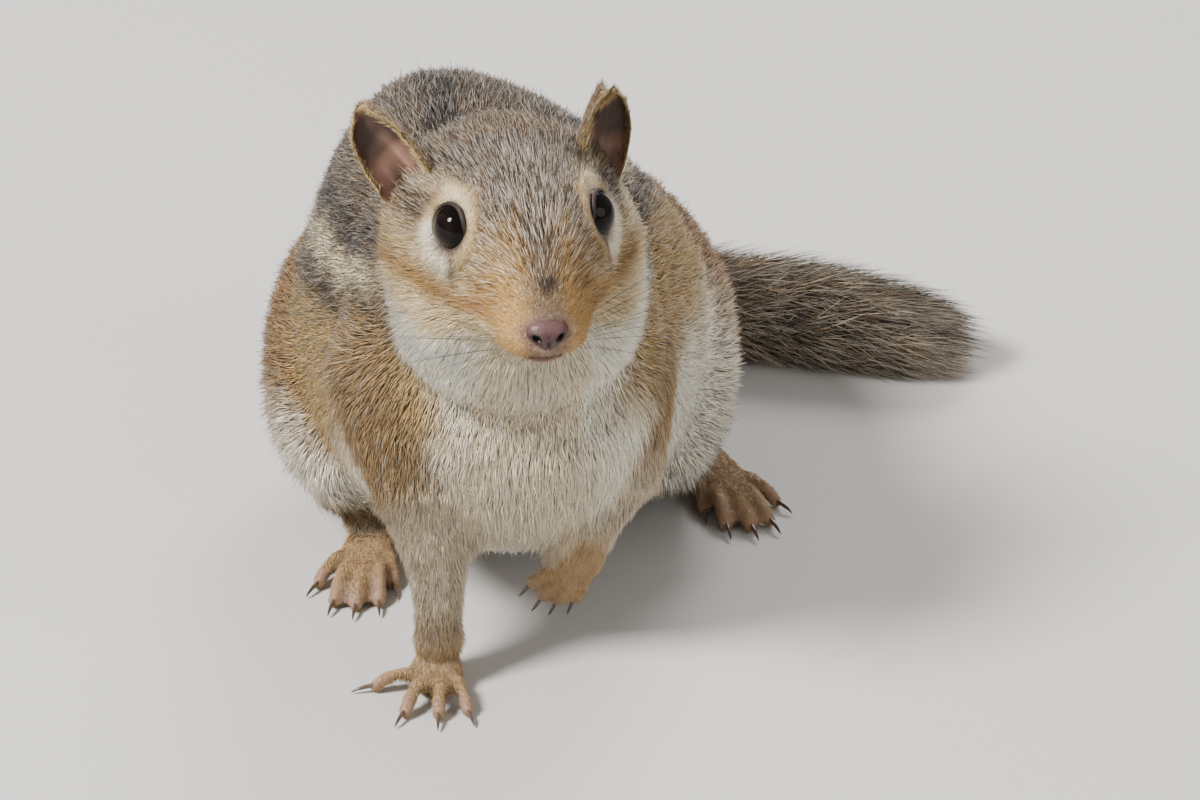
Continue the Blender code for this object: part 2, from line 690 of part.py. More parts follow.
def ear(side):
    """A cupped, pointed ear. Its hollow looks forwards and outwards.

    Both of its faces are split into triangles along the same diagonals, so that they never cross.
    """
    root, tip, look = (Vector(value) for value in EARS[side])
    along = (tip - root).normalized()
    length = (tip - root).length
    look = (look - look.project(along)).normalized()
    across = along.cross(look) * side
    rows, columns = 9, 8
    front, back = [], []
    for i in range(rows + 1):
        s = i / rows
        width = EAR_WIDTH / 2 * math.sqrt(1 - ((s - 0.35) / 0.68) ** 2)
        cup = 3.4 * (1 - s) + 1.3 * s
        lean_back = 1.6 * s * s
        thick = EAR_THICK * (1.25 - 0.5 * s)
        for loops, offset in ((front, thick / 2), (back, -thick / 2)):
            row = []
            for j in range(columns + 1):
                u = 2 * j / columns - 1
                edge = abs(u) ** 6
                point = (root + along * (length * s - 3.2 * (1 - s) + 0.9 * (1 - u * u) * s)
                         + across * width * math.sin(u * math.pi / 2)
                         + look * (cup * (1 - math.cos(u * math.pi / 2)) - lean_back
                                   + offset * (1 - 0.35 * edge)))
                row.append(point * MM)
            loops.append(row)
    work = bmesh.new()
    sheets = [[[work.verts.new(p) for p in row] for row in sheet] for sheet in (front, back)]
    for sheet in sheets:
        for a, b in zip(sheet, sheet[1:]):
            for j in range(columns):
                work.faces.new((a[j], a[j + 1], b[j + 1]))
                work.faces.new((a[j], b[j + 1], b[j]))
    a, b = sheets
    rim = ([(a[0][j], b[0][j]) for j in range(columns + 1)]
           + [(a[i][columns], b[i][columns]) for i in range(1, rows + 1)]
           + [(a[rows][j], b[rows][j]) for j in range(columns - 1, -1, -1)]
           + [(a[i][0], b[i][0]) for i in range(rows - 1, 0, -1)])
    for (p, q), (r, t) in zip(rim, rim[1:] + rim[:1]):
        work.faces.new((p, r, t, q))
    return object_from("ear", work)


def close_short_edges(obj):
    """Closes up the very short edges that a cut leaves along a thin rim."""
    work = bmesh.new()
    work.from_mesh(obj.data)
    bmesh.ops.triangulate(work, faces=work.faces)
    bmesh.ops.dissolve_degenerate(work, dist=SHORT_EDGE * MM, edges=work.edges)
    bmesh.ops.triangulate(work, faces=work.faces)
    work.to_mesh(obj.data)
    work.free()


def notch_cutter(side):
    """The wedge of the tear that this animal has beside the tip of its left ear."""
    tip = Vector(EARS[side].tip)
    work = bmesh.new()
    half, depth, reach = 1.1, 3.6, 6
    corners = [(-half * 1.6, 1.6), (half * 1.6, 1.6), (0.35, -depth), (-0.35, -depth)]
    loops = [[work.verts.new((tip + Vector((x * 0.86 + 0.7 * side, y * 1.0 + x * 0.5, z))) * MM)
              for x, z in corners] for y in (-reach, reach)]
    work.faces.new(loops[0])
    work.faces.new(loops[1][::-1])
    for k in range(4):
        work.faces.new((loops[0][k], loops[0][(k + 1) % 4], loops[1][(k + 1) % 4], loops[1][k]))
    return object_from("notch", work)


def nose_pad(grow=0.0):
    """The bare nose: a rounded pad, broad above, with its nostrils cut at the sides."""
    x, y, z = NOSE_TIP
    pad = ellipsoid("nose", (x, y + 0.5, z + 0.2), (3.0 + grow, 1.9 + grow, 2.1 + grow),
                    segments=14, rings=8)
    philtrum = ellipsoid("philtrum", (0, y - 0.1, z - 1.9),
                         (0.9 + grow, 1.15 + grow, 1.4 + grow), segments=8, rings=6)
    pad = join_all("nose", [pad, philtrum])
    if grow:
        return pad
    for side in (-1, 1):
        nostril = ellipsoid("nostril", (1.7 * side, y - 1.0, z - 0.3), (0.75, 0.9, 0.5),
                            turn=(0, 0.5 * side, 0.6 * side), segments=8, rings=6)
        boolean(pad, nostril, "DIFFERENCE")
        remove(nostril)
    return keep_largest(pad)


def mouth_cutter():
    """A thin curved blade that leaves the line between the lips."""
    work = bmesh.new()
    steps = 18
    upper, lower = [], []
    for i in range(steps + 1):
        u = 2 * i / steps - 1
        x = MOUTH_HALF * u
        back = MOUTH_FRONT + 5.6 * abs(u) ** 1.7
        bow = 0.5 * math.cos(u * math.pi * 2) * (1 - abs(u))
        height = MOUTH_HEIGHT - 0.9 * abs(u) ** 1.3 + bow
        for loops, rise in ((upper, MOUTH_OPEN / 2), (lower, -MOUTH_OPEN / 2)):
            loops.append([(x * 1.25, back - 1.6, height + rise),
                          (x * 0.84, back + 1.7, height + rise)])
    verts = [[[work.verts.new(Vector(p) * MM) for p in pair] for pair in edge]
             for edge in (upper, lower)]
    for i in range(steps):
        work.faces.new((verts[0][i][0], verts[0][i + 1][0], verts[0][i + 1][1], verts[0][i][1]))
        work.faces.new((verts[1][i][0], verts[1][i][1], verts[1][i + 1][1], verts[1][i + 1][0]))
        for k in (0, 1):
            work.faces.new((verts[0][i][k], verts[0][i + 1][k], verts[1][i + 1][k], verts[1][i][k]))
    for i in (0, steps):
        work.faces.new((verts[0][i][0], verts[0][i][1], verts[1][i][1], verts[1][i][0]))
    return object_from("mouth", work)


def head_pieces(trunk):
    """The head with its lids, mouth and sockets, and the eyes, ears and nose as bodies of their own.

    What the trunk has before the plane of the throat goes to the head, so that both meet there.
    """
    frame = head_frame()
    throat = duplicate(trunk, "throat")
    throat.data.transform(frame.inverted())
    back = Vector(THROAT) - THROAT_NORMAL * MELT_MARGIN
    cut_to(throat, back, THROAT_NORMAL)
    head = sculpt(loft("head", HEAD, 48, 4), both_sides(PAIRED_FEATURES) + MIDDLE_FEATURES)
    fillers = [ellipsoid("cheek", (CHEEK[0][0] * side, *CHEEK[0][1:]), CHEEK[1])
               for side in (-1, 1)]
    head = melt(join_all("head", [head, throat] + fillers), *HEAD_MELT)
    head = join_all("head", [head, lids(1), lids(-1)])
    cut_to(head, THROAT, THROAT_NORMAL, "MANIFOLD")
    trunk.data.transform(frame.inverted())
    cut_to(trunk, THROAT, -THROAT_NORMAL)
    trunk.data.transform(frame)
    made = {}
    for side, word in ((1, "left"), (-1, "right")):
        socket = ellipsoid("socket", eye_centre(side), [EYE_RADIUS + GAP / MM] * 3,
                           segments=16, rings=12)
        boolean(head, socket, "DIFFERENCE", "MANIFOLD")
        remove(socket)
        made["eye_" + word] = ellipsoid("eye_" + word, eye_centre(side), [EYE_RADIUS] * 3,
                                        segments=14, rings=8)
    pad = nose_pad(GAP / MM)
    boolean(head, pad, "DIFFERENCE", "MANIFOLD")
    remove(pad)
    mouth = mouth_cutter()
    boolean(head, mouth, "DIFFERENCE", "MANIFOLD")
    remove(mouth)
    keep_largest(head)
    for side, word in ((1, "left"), (-1, "right")):
        shell = ear(side)
        if side == 1:
            notch = notch_cutter(side)
            boolean(shell, notch, "DIFFERENCE", "MANIFOLD")
            remove(notch)
        grown = grown_copy(head, GAP)
        boolean(shell, grown, "DIFFERENCE")
        remove(grown)
        close_short_edges(shell)
        shell.name = "ear_" + word
        made["ear_" + word] = keep_largest(shell)
    made["nose"] = nose_pad()
    made["head"] = head
    for name, obj in made.items():
        place(obj, frame)
        dress(obj, name.split("_")[0])
    return made


def grown_copy(obj, distance):
    """A copy of a body with its surface moved out, for cutting a neighbour with a gap."""
    copy = duplicate(obj, obj.name + "_grown")
    normals = [vert.normal.copy() for vert in copy.data.vertices]
    for vert, normal in zip(copy.data.vertices, normals):
        vert.co += normal * distance
    return copy


def along_tail(s):
    """A point of the bone's line, with its core and reach; past 1 it runs straight on."""
    rows = smooth_rows(TAIL, 8)
    place_in = min(max(s, 0), 1) * (len(rows) - 1)
    first = min(int(place_in), len(rows) - 2)
    share = place_in - first
    row = [a + (b - a) * share for a, b in zip(rows[first], rows[first + 1])]
    point = Vector(row[:3])
    way = (Vector(rows[first + 1][:3]) - Vector(rows[first][:3])).normalized()
    if s > 1:
        point += way * (s - 1) * tail_length()
        point.z = rows[-1][2]
    return point, way, row[3], row[4]


def tail_length():
    rows = smooth_rows(TAIL, 8)
    return sum((Vector(b[:3]) - Vector(a[:3])).length for a, b in zip(rows, rows[1:]))


def tail_core():
    rings = [Ring(point.x, point.y, point.z, point.core, point.core,
                  min(point.core, TAIL_FOOT) if point.z > 8 else TAIL_FOOT * point.core / 4.4, 0)
             for point in TAIL]
    end = rings[-1]
    tip = end._replace(x=end.x + 3, y=end.y - 1.1, side=1.0, top=1.0, bottom=1.0)
    return loft("tail", rings + [tip], 12, 2, lateral=Vector((0.3, -1, 0)))


def lock(name, start, length, angle, spread, width, twist):
    """One flat, tapered lock of hair that leaves the core and bends over to lie along the tail."""
    shares = (0.0, 0.22, 0.58, 1.0)
    lift = (0.0, 0.42, 0.80, 1.0)
    widths = (0.55, 1.0, 0.86, 0.10)
    thicks = (0.9, 1.0, 0.72, 0.18)
    work = bmesh.new()
    loops = []
    total = tail_length()
    for share, rise, wide, thick in zip(shares, lift, widths, thicks):
        centre, way, core, reach = along_tail(start + share * length / total)
        side = way.cross(Vector((0, 0, 1))).normalized()
        up = side.cross(way)
        turn = angle + twist * share
        out = up * math.cos(turn) + side * math.sin(turn)
        across = way.cross(out)
        height = core * 0.35 + (reach * spread - core * 0.35) * rise
        point = centre + out * height
        half, flat = width * wide / 2, LOCK_THICK * thick / 2
        ring = [point + across * half, point + out * flat, point - across * half,
                point - out * flat]
        for corner in ring:
            corner.z = max(corner.z, LEAST_LIFT + (corner - point).length * 0.05)
        loops.append([work.verts.new(corner * MM) for corner in ring])
    for a, b in zip(loops, loops[1:]):
        for k in range(4):
            work.faces.new((a[k], a[(k + 1) % 4], b[(k + 1) % 4], b[k]))
    work.faces.new(loops[0][::-1])
    work.faces.new(loops[-1])
    return object_from(name, work)


def tail_locks():
    """Rows of locks round the core, each row turned against the one before, and the end tuft."""
    draw = random.Random(LOCK_SEED)
    made = []
    for row in range(LOCK_ROWS):
        start = FIRST_ROW + (LAST_ROW - FIRST_ROW) * row / (LOCK_ROWS - 1)
        length = LOCK_LENGTH + (END_LENGTH - LOCK_LENGTH) * (row / (LOCK_ROWS - 1)) ** 4
        for angle in LOCK_ANGLES[row % 2]:
            made.append(lock(
                f"lock_{len(made)}", start + draw.uniform(-0.02, 0.02),
                length * draw.uniform(0.85, 1.15),
                math.radians(angle + draw.uniform(-9, 9)), draw.uniform(0.88, 1.06),
                LOCK_WIDTH * draw.uniform(0.85, 1.15), math.radians(draw.uniform(-14, 14))))
    for angle in END_ANGLES:
        made.append(lock(
            f"lock_{len(made)}", 0.95, END_LENGTH * draw.uniform(0.9, 1.15),
            math.radians(angle + draw.uniform(-9, 9)), draw.uniform(0.3, 0.55),
            LOCK_WIDTH * 0.8, math.radians(draw.uniform(-14, 14))))
    return made


def recentre():
    """Moves everything so that the middle of the model's box stands on the origin."""
    solids = [obj for obj in bpy.data.objects if obj.type == "MESH"]
    corners = [vert.co for obj in solids for vert in obj.data.vertices]
    low = [min(corner[axis] for corner in corners) for axis in range(3)]
    high = [max(corner[axis] for corner in corners) for axis in range(3)]
    shift = Vector((-(low[0] + high[0]) / 2, -(low[1] + high[1]) / 2, -low[2]))
    for obj in solids:
        obj.data.transform(Matrix.Translation(shift))


def main():
    clear_scene()
    trunk = fused_trunk()
    cut_by_floor(trunk)
    head_pieces(trunk)
    hind_frames = {"right": foot_frame(HIND_RIGHT), "left": foot_frame(HIND_LEFT)}
    tail = tail_core()
    socket = grown_copy(tail, GAP)
    boolean(trunk, socket, "DIFFERENCE")
    remove(socket)
    keep_largest(trunk)
    tail = join_all("tail", [tail] + tail_locks())
    cut_by_floor(tail)
    for piece in part_at(tail, *TAIL_CUT, "tail_base", "tail_brush", "MANIFOLD"):
        dress(piece, "tail")
    for frame in hind_frames.values():
        clear_of_sole(trunk, HIND_SOLE, frame)
    for word, foreleg, elbow, wrist, paw, toes in (
            ("right", FORELEG_RIGHT, ELBOW_RIGHT, WRIST_RIGHT, FORE_RIGHT, FORE_TOES),
            ("left", FORELEG_LEFT, ELBOW_LEFT, WRIST_LEFT, FORE_LEFT, DROOPING_TOES)):
        frame = foot_frame(paw)
        arm = take_limb(trunk, foreleg, "arm", ARM_GROW, 1)
        upper, lower = part_at(arm, *elbow, "upper_arm_" + word, "forearm_" + word)
        lower, stub = part_at(lower, *wrist, "forearm_" + word, "stub")
        clear_of_sole(trunk, FORE_PALM, frame)
        hand = foot("forepaw_" + word, FORE_PALM, toes, frame, stub, planted=word == "right")
        cut_to(hand, *wrist)
        dress(upper, "limb")
        dress(lower, "limb")
        dress(hand, "paw")
        claws("claw_fore_" + word, toes, frame)
    for word, thigh, shank in (("right", THIGH_RIGHT, SHANK_RIGHT),
                               ("left", THIGH_LEFT, SHANK_LEFT)):
        dress(take_limb(trunk, shank, "shank_" + word, SHANK_GROW, 1), "limb")
        dress(take_limb(trunk, thigh, "thigh_" + word, THIGH_GROW, 2), "limb")
        dress(foot("hind_foot_" + word, HIND_SOLE, HIND_TOES, hind_frames[word]), "paw")
        claws("claw_hind_" + word, HIND_TOES, hind_frames[word])
    trunk, neck = part_at(trunk, *NECK_CUT, "body", "neck")
    chest, trunk = part_at(trunk, *CHEST_CUT, "chest", "behind")
    belly, rump = part_at(trunk, *BELLY_CUT, "belly", "rump")
    for obj, kind in ((neck, "neck"), (chest, "chest"), (belly, "belly"), (rump, "rump")):
        dress(obj, kind)
    recentre()


if __name__ == "__main__":
    main()
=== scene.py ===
"""The looks of a life-size chipmunk: skin, coat, eyes, nose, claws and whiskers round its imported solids.

Metres, +Z up. The plan is the frame in which the body was laid out: the animal looks along -Y and its
own right side is at -X. Lengths in the plan are in millimetres.
"""

import math

import bmesh
import bpy
import numpy as np
from bpy.props import FloatProperty, FloatVectorProperty, IntProperty, PointerProperty
from mathutils import Matrix, Vector
from mathutils.bvhtree import BVHTree
from mathutils.kdtree import KDTree


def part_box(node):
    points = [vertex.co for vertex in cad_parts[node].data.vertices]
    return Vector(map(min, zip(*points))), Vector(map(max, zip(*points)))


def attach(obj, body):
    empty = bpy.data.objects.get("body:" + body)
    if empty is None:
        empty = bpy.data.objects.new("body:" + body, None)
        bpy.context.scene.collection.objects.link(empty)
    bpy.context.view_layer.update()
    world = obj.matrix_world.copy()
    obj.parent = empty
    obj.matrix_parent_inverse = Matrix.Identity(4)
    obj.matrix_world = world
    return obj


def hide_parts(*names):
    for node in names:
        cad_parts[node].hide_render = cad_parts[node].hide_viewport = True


bl_info = {
    "name": "Chipmunk",
    "version": (1, 0, 0),
    "blender": (4, 5, 0),
    "location": "View3D > Sidebar > Chipmunk",
    "description": "Skin, coat, eyes, nose, claws and whiskers of a life-size chipmunk",
    "category": "Object",
}

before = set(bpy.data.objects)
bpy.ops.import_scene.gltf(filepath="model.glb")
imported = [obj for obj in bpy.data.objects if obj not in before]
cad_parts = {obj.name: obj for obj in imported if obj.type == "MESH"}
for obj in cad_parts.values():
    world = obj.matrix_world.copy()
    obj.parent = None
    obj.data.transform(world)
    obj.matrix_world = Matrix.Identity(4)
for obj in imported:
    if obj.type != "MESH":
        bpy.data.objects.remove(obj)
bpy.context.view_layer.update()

MM = 0.001
BODY = "root"
SEED = 7

# The head's frame, from the two eyes: its X runs across, -Y to the nose
HEAD_PITCH = math.radians(-6)
EYE_HEIGHT = Vector((0, 1.2, 3.8))  # of the eyes' middle in the head's frame
HEAD_ORIGIN = Vector((3.3, 8.0, 67.2))  # of the head's frame in the plan
EYE_RADIUS = 3.55
EYE_SHIFT = (0.30, -0.45, 0.50)  # of the eyeball in its node: out, back and up
EYE_TURN = math.radians(65)
EYE_LIFT = math.radians(10)
LID_LONG = 2.95  # half the opening between the lids, along the head
LID_TALL = 3.16  # and half of it upwards


def box_middle(node):
    low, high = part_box(node)
    return (low + high) / 2


def head_and_plan():
    """The head's frame in metres, and where the plan's origin lies in the frame."""
    left, right = box_middle("eye_left"), box_middle("eye_right")
    across = left - right
    turn = (Matrix.Rotation(math.atan2(across.y, across.x), 4, "Z")
            @ Matrix.Rotation(-HEAD_PITCH, 4, "X"))
    middle = (left + right) / 2
    origin = middle - (turn @ EYE_HEIGHT) * MM
    return Matrix.Translation(origin) @ turn, origin - HEAD_ORIGIN * MM


HEAD, PLAN = head_and_plan()
HEAD_TURN = np.array(HEAD.to_3x3())
HEAD_AT = np.array(HEAD.translation) / MM
PLAN_AT = np.array(PLAN) / MM


# Colours and sizes that a user would change

def colour(name, description, default):
    return FloatVectorProperty(name=name, description=description, subtype="COLOR", size=3,
                               min=0, max=1, default=default)


def distance(name, description, default):
    return FloatProperty(name=name, description=description, subtype="DISTANCE", unit="LENGTH",
                         min=0, default=default, precision=5)


class CoatColours(bpy.types.PropertyGroup):
    crown: colour("Crown", "Grizzled top of the head and the neck", (0.275, 0.180, 0.098))
    back: colour("Back", "Grey-brown beside the middle stripe", (0.205, 0.140, 0.085))
    flank: colour("Flank", "Ochre of the flanks and cheeks", (0.46, 0.305, 0.115))
    muzzle: colour("Muzzle", "Golden sides of the muzzle", (0.55, 0.325, 0.110))
    limb: colour("Limb", "Buff-brown of the arms and legs", (0.36, 0.235, 0.110))
    rump: colour("Rump", "Rufous of the rump and haunches", (0.36, 0.175, 0.060))
    pale: colour("Pale stripes", "Cream of the stripes on face and flanks", (0.86, 0.71, 0.45))
    dark: colour("Dark stripes", "Nearly black stripes", (0.040, 0.027, 0.019))
    white: colour("Belly", "Belly, jaw and inner sides of the legs", (0.96, 0.89, 0.75))
    buff: colour("Chest", "Warm pale hair of throat and chest", (0.80, 0.69, 0.52))
    feet: colour("Feet", "Short hair on paws and feet", (0.50, 0.33, 0.155))
    toes: colour("Toes", "Nearly bare skin of the toes", (0.31, 0.185, 0.125))
    under: colour("Undercoat", "Slate colour of the hair's root", (0.060, 0.047, 0.038))
    ticking: colour("Ticking", "Pale tips of grizzled hair", (0.86, 0.79, 0.70))
    frost: colour("Frost", "Tips of the tail's hair", (0.60, 0.53, 0.42))
    ear: colour("Ear", "Bare skin inside the ears", (0.27, 0.145, 0.100))
    lid: colour("Lid", "Bare rims of the lids", (0.030, 0.018, 0.013))
    nose: colour("Nose", "Bare skin of the nose and lips", (0.062, 0.027, 0.025))
    eye: colour("Eye", "Eyeball", (0.004, 0.003, 0.002))
    claw: colour("Claw", "Horn of the claws", (0.06, 0.035, 0.022))


class CoatSizes(bpy.types.PropertyGroup):
    body_hair: distance("Body hair", "Length of the hair on the trunk", 0.0058)
    face_hair: distance("Face hair", "Length of the hair on the cheeks", 0.0033)
    foot_hair: distance("Foot hair", "Length of the hair on the feet", 0.0014)
    tail_hair: distance("Tail hair", "Length of the hair of the tail", 0.0150)
    long_tufts: IntProperty(name="Long tufts", description="Bent tufts of trunk and thighs",
                            default=136000, min=1000)
    short_tufts: IntProperty(name="Short tufts", description="Straight tufts of head, legs and feet",
                             default=118000, min=1000)
    tail_tufts: IntProperty(name="Tail tufts", description="Tufts on the tail",
                            default=30000, min=100)
    voxel: distance("Skin voxel", "Grid on which the skin is joined", 0.0005)


class StageSettings(bpy.types.PropertyGroup):
    key_power: FloatProperty(name="Key light", description="Power of the large soft light",
                             subtype="POWER", unit="POWER", default=36.0, min=0)
    fill_power: FloatProperty(name="Fill light", description="Power of the light on the other side",
                              subtype="POWER", unit="POWER", default=3.0, min=0)
    rim_power: FloatProperty(name="Rim light", description="Power of the light behind",
                             subtype="POWER", unit="POWER", default=9.0, min=0)
    floor: colour("Floor", "Colour of the floor", (0.62, 0.60, 0.57))


# Small tools on arrays of points, in mm of the plan

def to_head(points):
    """Points of the plan in the head's frame."""
    return (points + PLAN_AT - HEAD_AT) @ HEAD_TURN


def from_head(points):
    return points @ HEAD_TURN.T + HEAD_AT - PLAN_AT


def unit(vectors):
    return vectors / np.maximum(np.linalg.norm(vectors, axis=-1, keepdims=True), 1e-9)


def step(low, high, values):
    """0 below low, 1 above high and smooth between; low may be the larger one."""
    share = np.clip((values - low) / (high - low), 0, 1)
    return share * share * (3 - 2 * share)


def band(low, high, soft, values):
    return step(low - soft, low + soft, values) * step(high + soft, high - soft, values)


def mix(a, b, share):
    return a + (np.asarray(b) - a) * share[:, None]


def near_line(points, line):
    """Distance in a plane from points to a line of a few corners."""
    best = np.full(len(points), 1e9)
    corners = np.array(line, float)
    for a, b in zip(corners, corners[1:]):
        way = b - a
        share = np.clip(((points - a) @ way) / (way @ way), 0, 1)
        best = np.minimum(best, np.linalg.norm(points - a - share[:, None] * way, axis=1))
    return best


def waves(points, scale, seed):
    """A smooth noise between -1 and 1, from a few sine waves in random directions."""
    draw = np.random.default_rng(seed)
    total = np.zeros(len(points))
    for octave in range(9):
        way = unit(draw.normal(size=3)) * draw.uniform(0.6, 1.7) / scale
        total += np.sin(points @ way * 2 * math.pi + draw.uniform(0, 2 * math.pi))
    return total / 4.5


def mesh_from_arrays(name, verts, faces, sizes=None):
    """A mesh from points in metres and triangles, or from faces of the given sizes."""
    mesh = bpy.data.meshes.new(name)
    mesh.vertices.add(len(verts))
    mesh.vertices.foreach_set("co", np.asarray(verts, np.float32).ravel())
    loops = np.asarray(faces, np.int32).ravel()
    mesh.loops.add(len(loops))
    mesh.loops.foreach_set("vertex_index", loops)
    if sizes is None:
        sizes = np.full(len(loops) // 3, 3, np.int32)
    mesh.polygons.add(len(sizes))
    mesh.polygons.foreach_set("loop_start", (np.cumsum(sizes) - sizes).astype(np.int32))
    mesh.update(calc_edges=True)
    mesh.polygons.foreach_set("use_smooth", np.ones(len(sizes), bool))
    mesh.update()
    return mesh


def add_object(name, mesh, material=None):
    old = bpy.data.objects.get(name)
    if old:
        bpy.data.objects.remove(old, do_unlink=True)
    obj = bpy.data.objects.new(name, mesh)
    bpy.context.scene.collection.objects.link(obj)
    if material:
        mesh.materials.clear()
        mesh.materials.append(material)
    return obj


def set_colour(mesh, name, values):
    attribute = mesh.attributes.new(name, "FLOAT_COLOR", "POINT")
    flat = np.ones((len(values), 4), np.float32)
    flat[:, :3] = np.clip(values, 0, 1)
    attribute.data.foreach_set("color", flat.ravel())


def set_value(mesh, name, values):
    attribute = mesh.attributes.new(name, "FLOAT", "POINT")
    attribute.data.foreach_set("value", np.asarray(values, np.float32))


def set_vector(mesh, name, values):
    attribute = mesh.attributes.new(name, "FLOAT_VECTOR", "POINT")
    attribute.data.foreach_set("vector", np.asarray(values, np.float32).ravel())


def read(mesh, name, width, field):
    values = np.empty(len(mesh.attributes[name].data) * width, np.float32)
    mesh.attributes[name].data.foreach_get(field, values)
    return values.reshape(-1, width).astype(float) if width > 1 else values.astype(float)


def read_points(mesh, field="co"):
    values = np.empty(len(mesh.vertices) * 3, np.float32)
    if field == "co":
        mesh.vertices.foreach_get("co", values)
    else:
        mesh.vertex_normals.foreach_get("vector", values)
    return values.reshape(-1, 3).astype(float)


# Materials

def new_material(name):
    material = bpy.data.materials.new(name)
    material.use_nodes = True
    nodes, links = material.node_tree.nodes, material.node_tree.links
    return material, nodes, links, nodes["Principled BSDF"]


def coat_material(name, roughness, sheen, mottle, bump):
    """Hair or skin whose colour is painted on the mesh, broken up by a fine noise."""
    material, nodes, links, shader = new_material(name)
    shader.inputs["Roughness"].default_value = roughness
    shader.inputs["Specular IOR Level"].default_value = 0.35
    shader.inputs["Sheen Weight"].default_value = sheen
    shader.inputs["Sheen Roughness"].default_value = 0.35
    paint = nodes.new("ShaderNodeAttribute")
    paint.attribute_name = "Coat"
    place = nodes.new("ShaderNodeTexCoord")
    noise = nodes.new("ShaderNodeTexNoise")
    noise.inputs["Scale"].default_value = 900
    noise.inputs["Detail"].default_value = 3
    span = nodes.new("ShaderNodeMapRange")
    span.inputs["To Min"].default_value = 1 - mottle
    span.inputs["To Max"].default_value = 1 + mottle
    tint = nodes.new("ShaderNodeHueSaturation")
    links.new(place.outputs["Object"], noise.inputs["Vector"])
    links.new(noise.outputs["Fac"], span.inputs["Value"])
    links.new(span.outputs["Result"], tint.inputs["Value"])
    links.new(paint.outputs["Color"], tint.inputs["Color"])
    links.new(tint.outputs["Color"], shader.inputs["Base Color"])
    if bump:
        raised = nodes.new("ShaderNodeBump")
        raised.inputs["Strength"].default_value = bump
        raised.inputs["Distance"].default_value = 0.0002
        links.new(noise.outputs["Fac"], raised.inputs["Height"])
        links.new(raised.outputs["Normal"], shader.inputs["Normal"])
    return material


# The trunk's middle line and the coat's markings

# Rows of y, then x and z of the middle line, and how far the back leans to the right, in the plan
SPINE = np.array([
    (8.8, 3.4, 43.5, 0.0), (21, 2.4, 44, 0.12), (34, 1.0, 41, 0.22), (49, 0.2, 37, 0.26),
    (64, -0.4, 33, 0.26), (77, -0.8, 28.5, 0.26), (89, -1.2, 24.5, 0.24), (101.5, -1.8, 20, 0.2),
])

# Lines on the side of the face, as y and z in the head's frame
BROW_STRIPE = [(-7.5, 3.0), (-4.6, 6.6), (0.5, 9.0), (5.5, 8.6), (11.5, 6.0)]
EYE_STRIPE = [(5.0, 4.0), (9.0, 4.0), (13.5, 3.6)]
CORNER_STRIPE = [(-3.0, 1.4), (-5.6, -1.2)]
UNDER_STRIPE = [(-6.6, -0.6), (-2.0, -0.6), (3.0, -0.2), (7.5, 0.6), (13.0, 2.2)]
CHEEK_STRIPE = [(-11.0, -2.6), (-4.0, -2.4), (3.0, -2.4), (10.0, -2.6), (18.0, -2.4)]
NOSE_AT = np.array((0.0, -15.3, -3.6))
PAD_SIZE, PAD_SHIFT = np.array((2.8, 1.95, 1.95)), np.array((0.0, 0.45, 0.15))  # of the nose's pad
SPOT_AT = np.array((0.3, -13.8, 2.6))  # a dark spot over the bridge of the nose
MOUTH_LINE = [(-4.6, -8.9), (-2.4, -7.8), (0.0, -8.3), (2.4, -7.8), (4.6, -8.9)]  # x and z


def round_the_body(points):
    """How far round from the back's ridge a point lies: 0 on the ridge, 1 under the belly."""
    y = points[:, 1]
    middle_x = np.interp(y, SPINE[:, 0], SPINE[:, 1])
    middle_z = np.interp(y, SPINE[:, 0], SPINE[:, 2])
    lean = np.interp(y, SPINE[:, 0], SPINE[:, 3])
    angle = np.arctan2(points[:, 0] - middle_x, points[:, 2] - middle_z) + np.arctan(lean)
    return np.abs((angle + math.pi) % (2 * math.pi) - math.pi) / math.pi


def body_markings(points, limbs, colours):
    """Main colour and share of grizzled hair on trunk and limbs."""
    x, y, z = points.T
    wander = waves(points, 17, 3) * 0.012 + waves(points, 5, 4) * 0.006
    turn = round_the_body(points) + wander
    striped = step(17, 27, y) * step(97, 84, y) * (1 - limbs)
    main = mix(np.tile(colours.back, (len(points), 1)), colours.crown, step(34, 16, y))
    main = mix(main, colours.rump, step(72, 92, y) * 0.85)
    main = mix(main, colours.flank, step(0.31, 0.44, turn) * step(96, 84, y))
    main = mix(main, colours.dark, band(-1, 0.022, 0.012, turn) * striped * 0.9)
    main = mix(main, colours.dark, band(0.20, 0.245, 0.012, turn) * striped * 0.8)
    main = mix(main, colours.pale, band(0.262, 0.315, 0.012, turn) * striped)
    main = mix(main, colours.dark, band(0.335, 0.375, 0.014, turn) * striped * 0.7)
    low = turn + wander * 1.5 - 0.045 * step(5, -15, x)
    main = mix(main, colours.white, step(0.50, 0.66, low) * 0.95)
    aside = np.abs(x - 3.0)
    front = step(26, 13, y) * step(62, 50, z) * step(15.0, 8.0, aside + wander * 80)
    main = mix(main, colours.buff, front)
    limb = mix(np.tile(colours.limb, (len(points), 1)), colours.rump, step(40, 70, y) * 0.5)
    inner = step(0.64, 0.80, turn) * step(6, 14, z)
    limb = mix(limb, colours.buff, inner * 0.7)
    limb = mix(limb, colours.white, step(76, 52, y + wander * 150) * step(38, 44, y)
               * step(0.48, 0.58, low) * step(5, 12, z) * 0.92)
    main = mix(main, limb, limbs)
    grizzle = 0.72 * step(0.42, 0.28, turn) + 0.28 * step(0.6, 0.5, turn) + 0.06
    grizzle = grizzle * (1 - front)
    return main, np.maximum(grizzle, 0.28 * limbs)


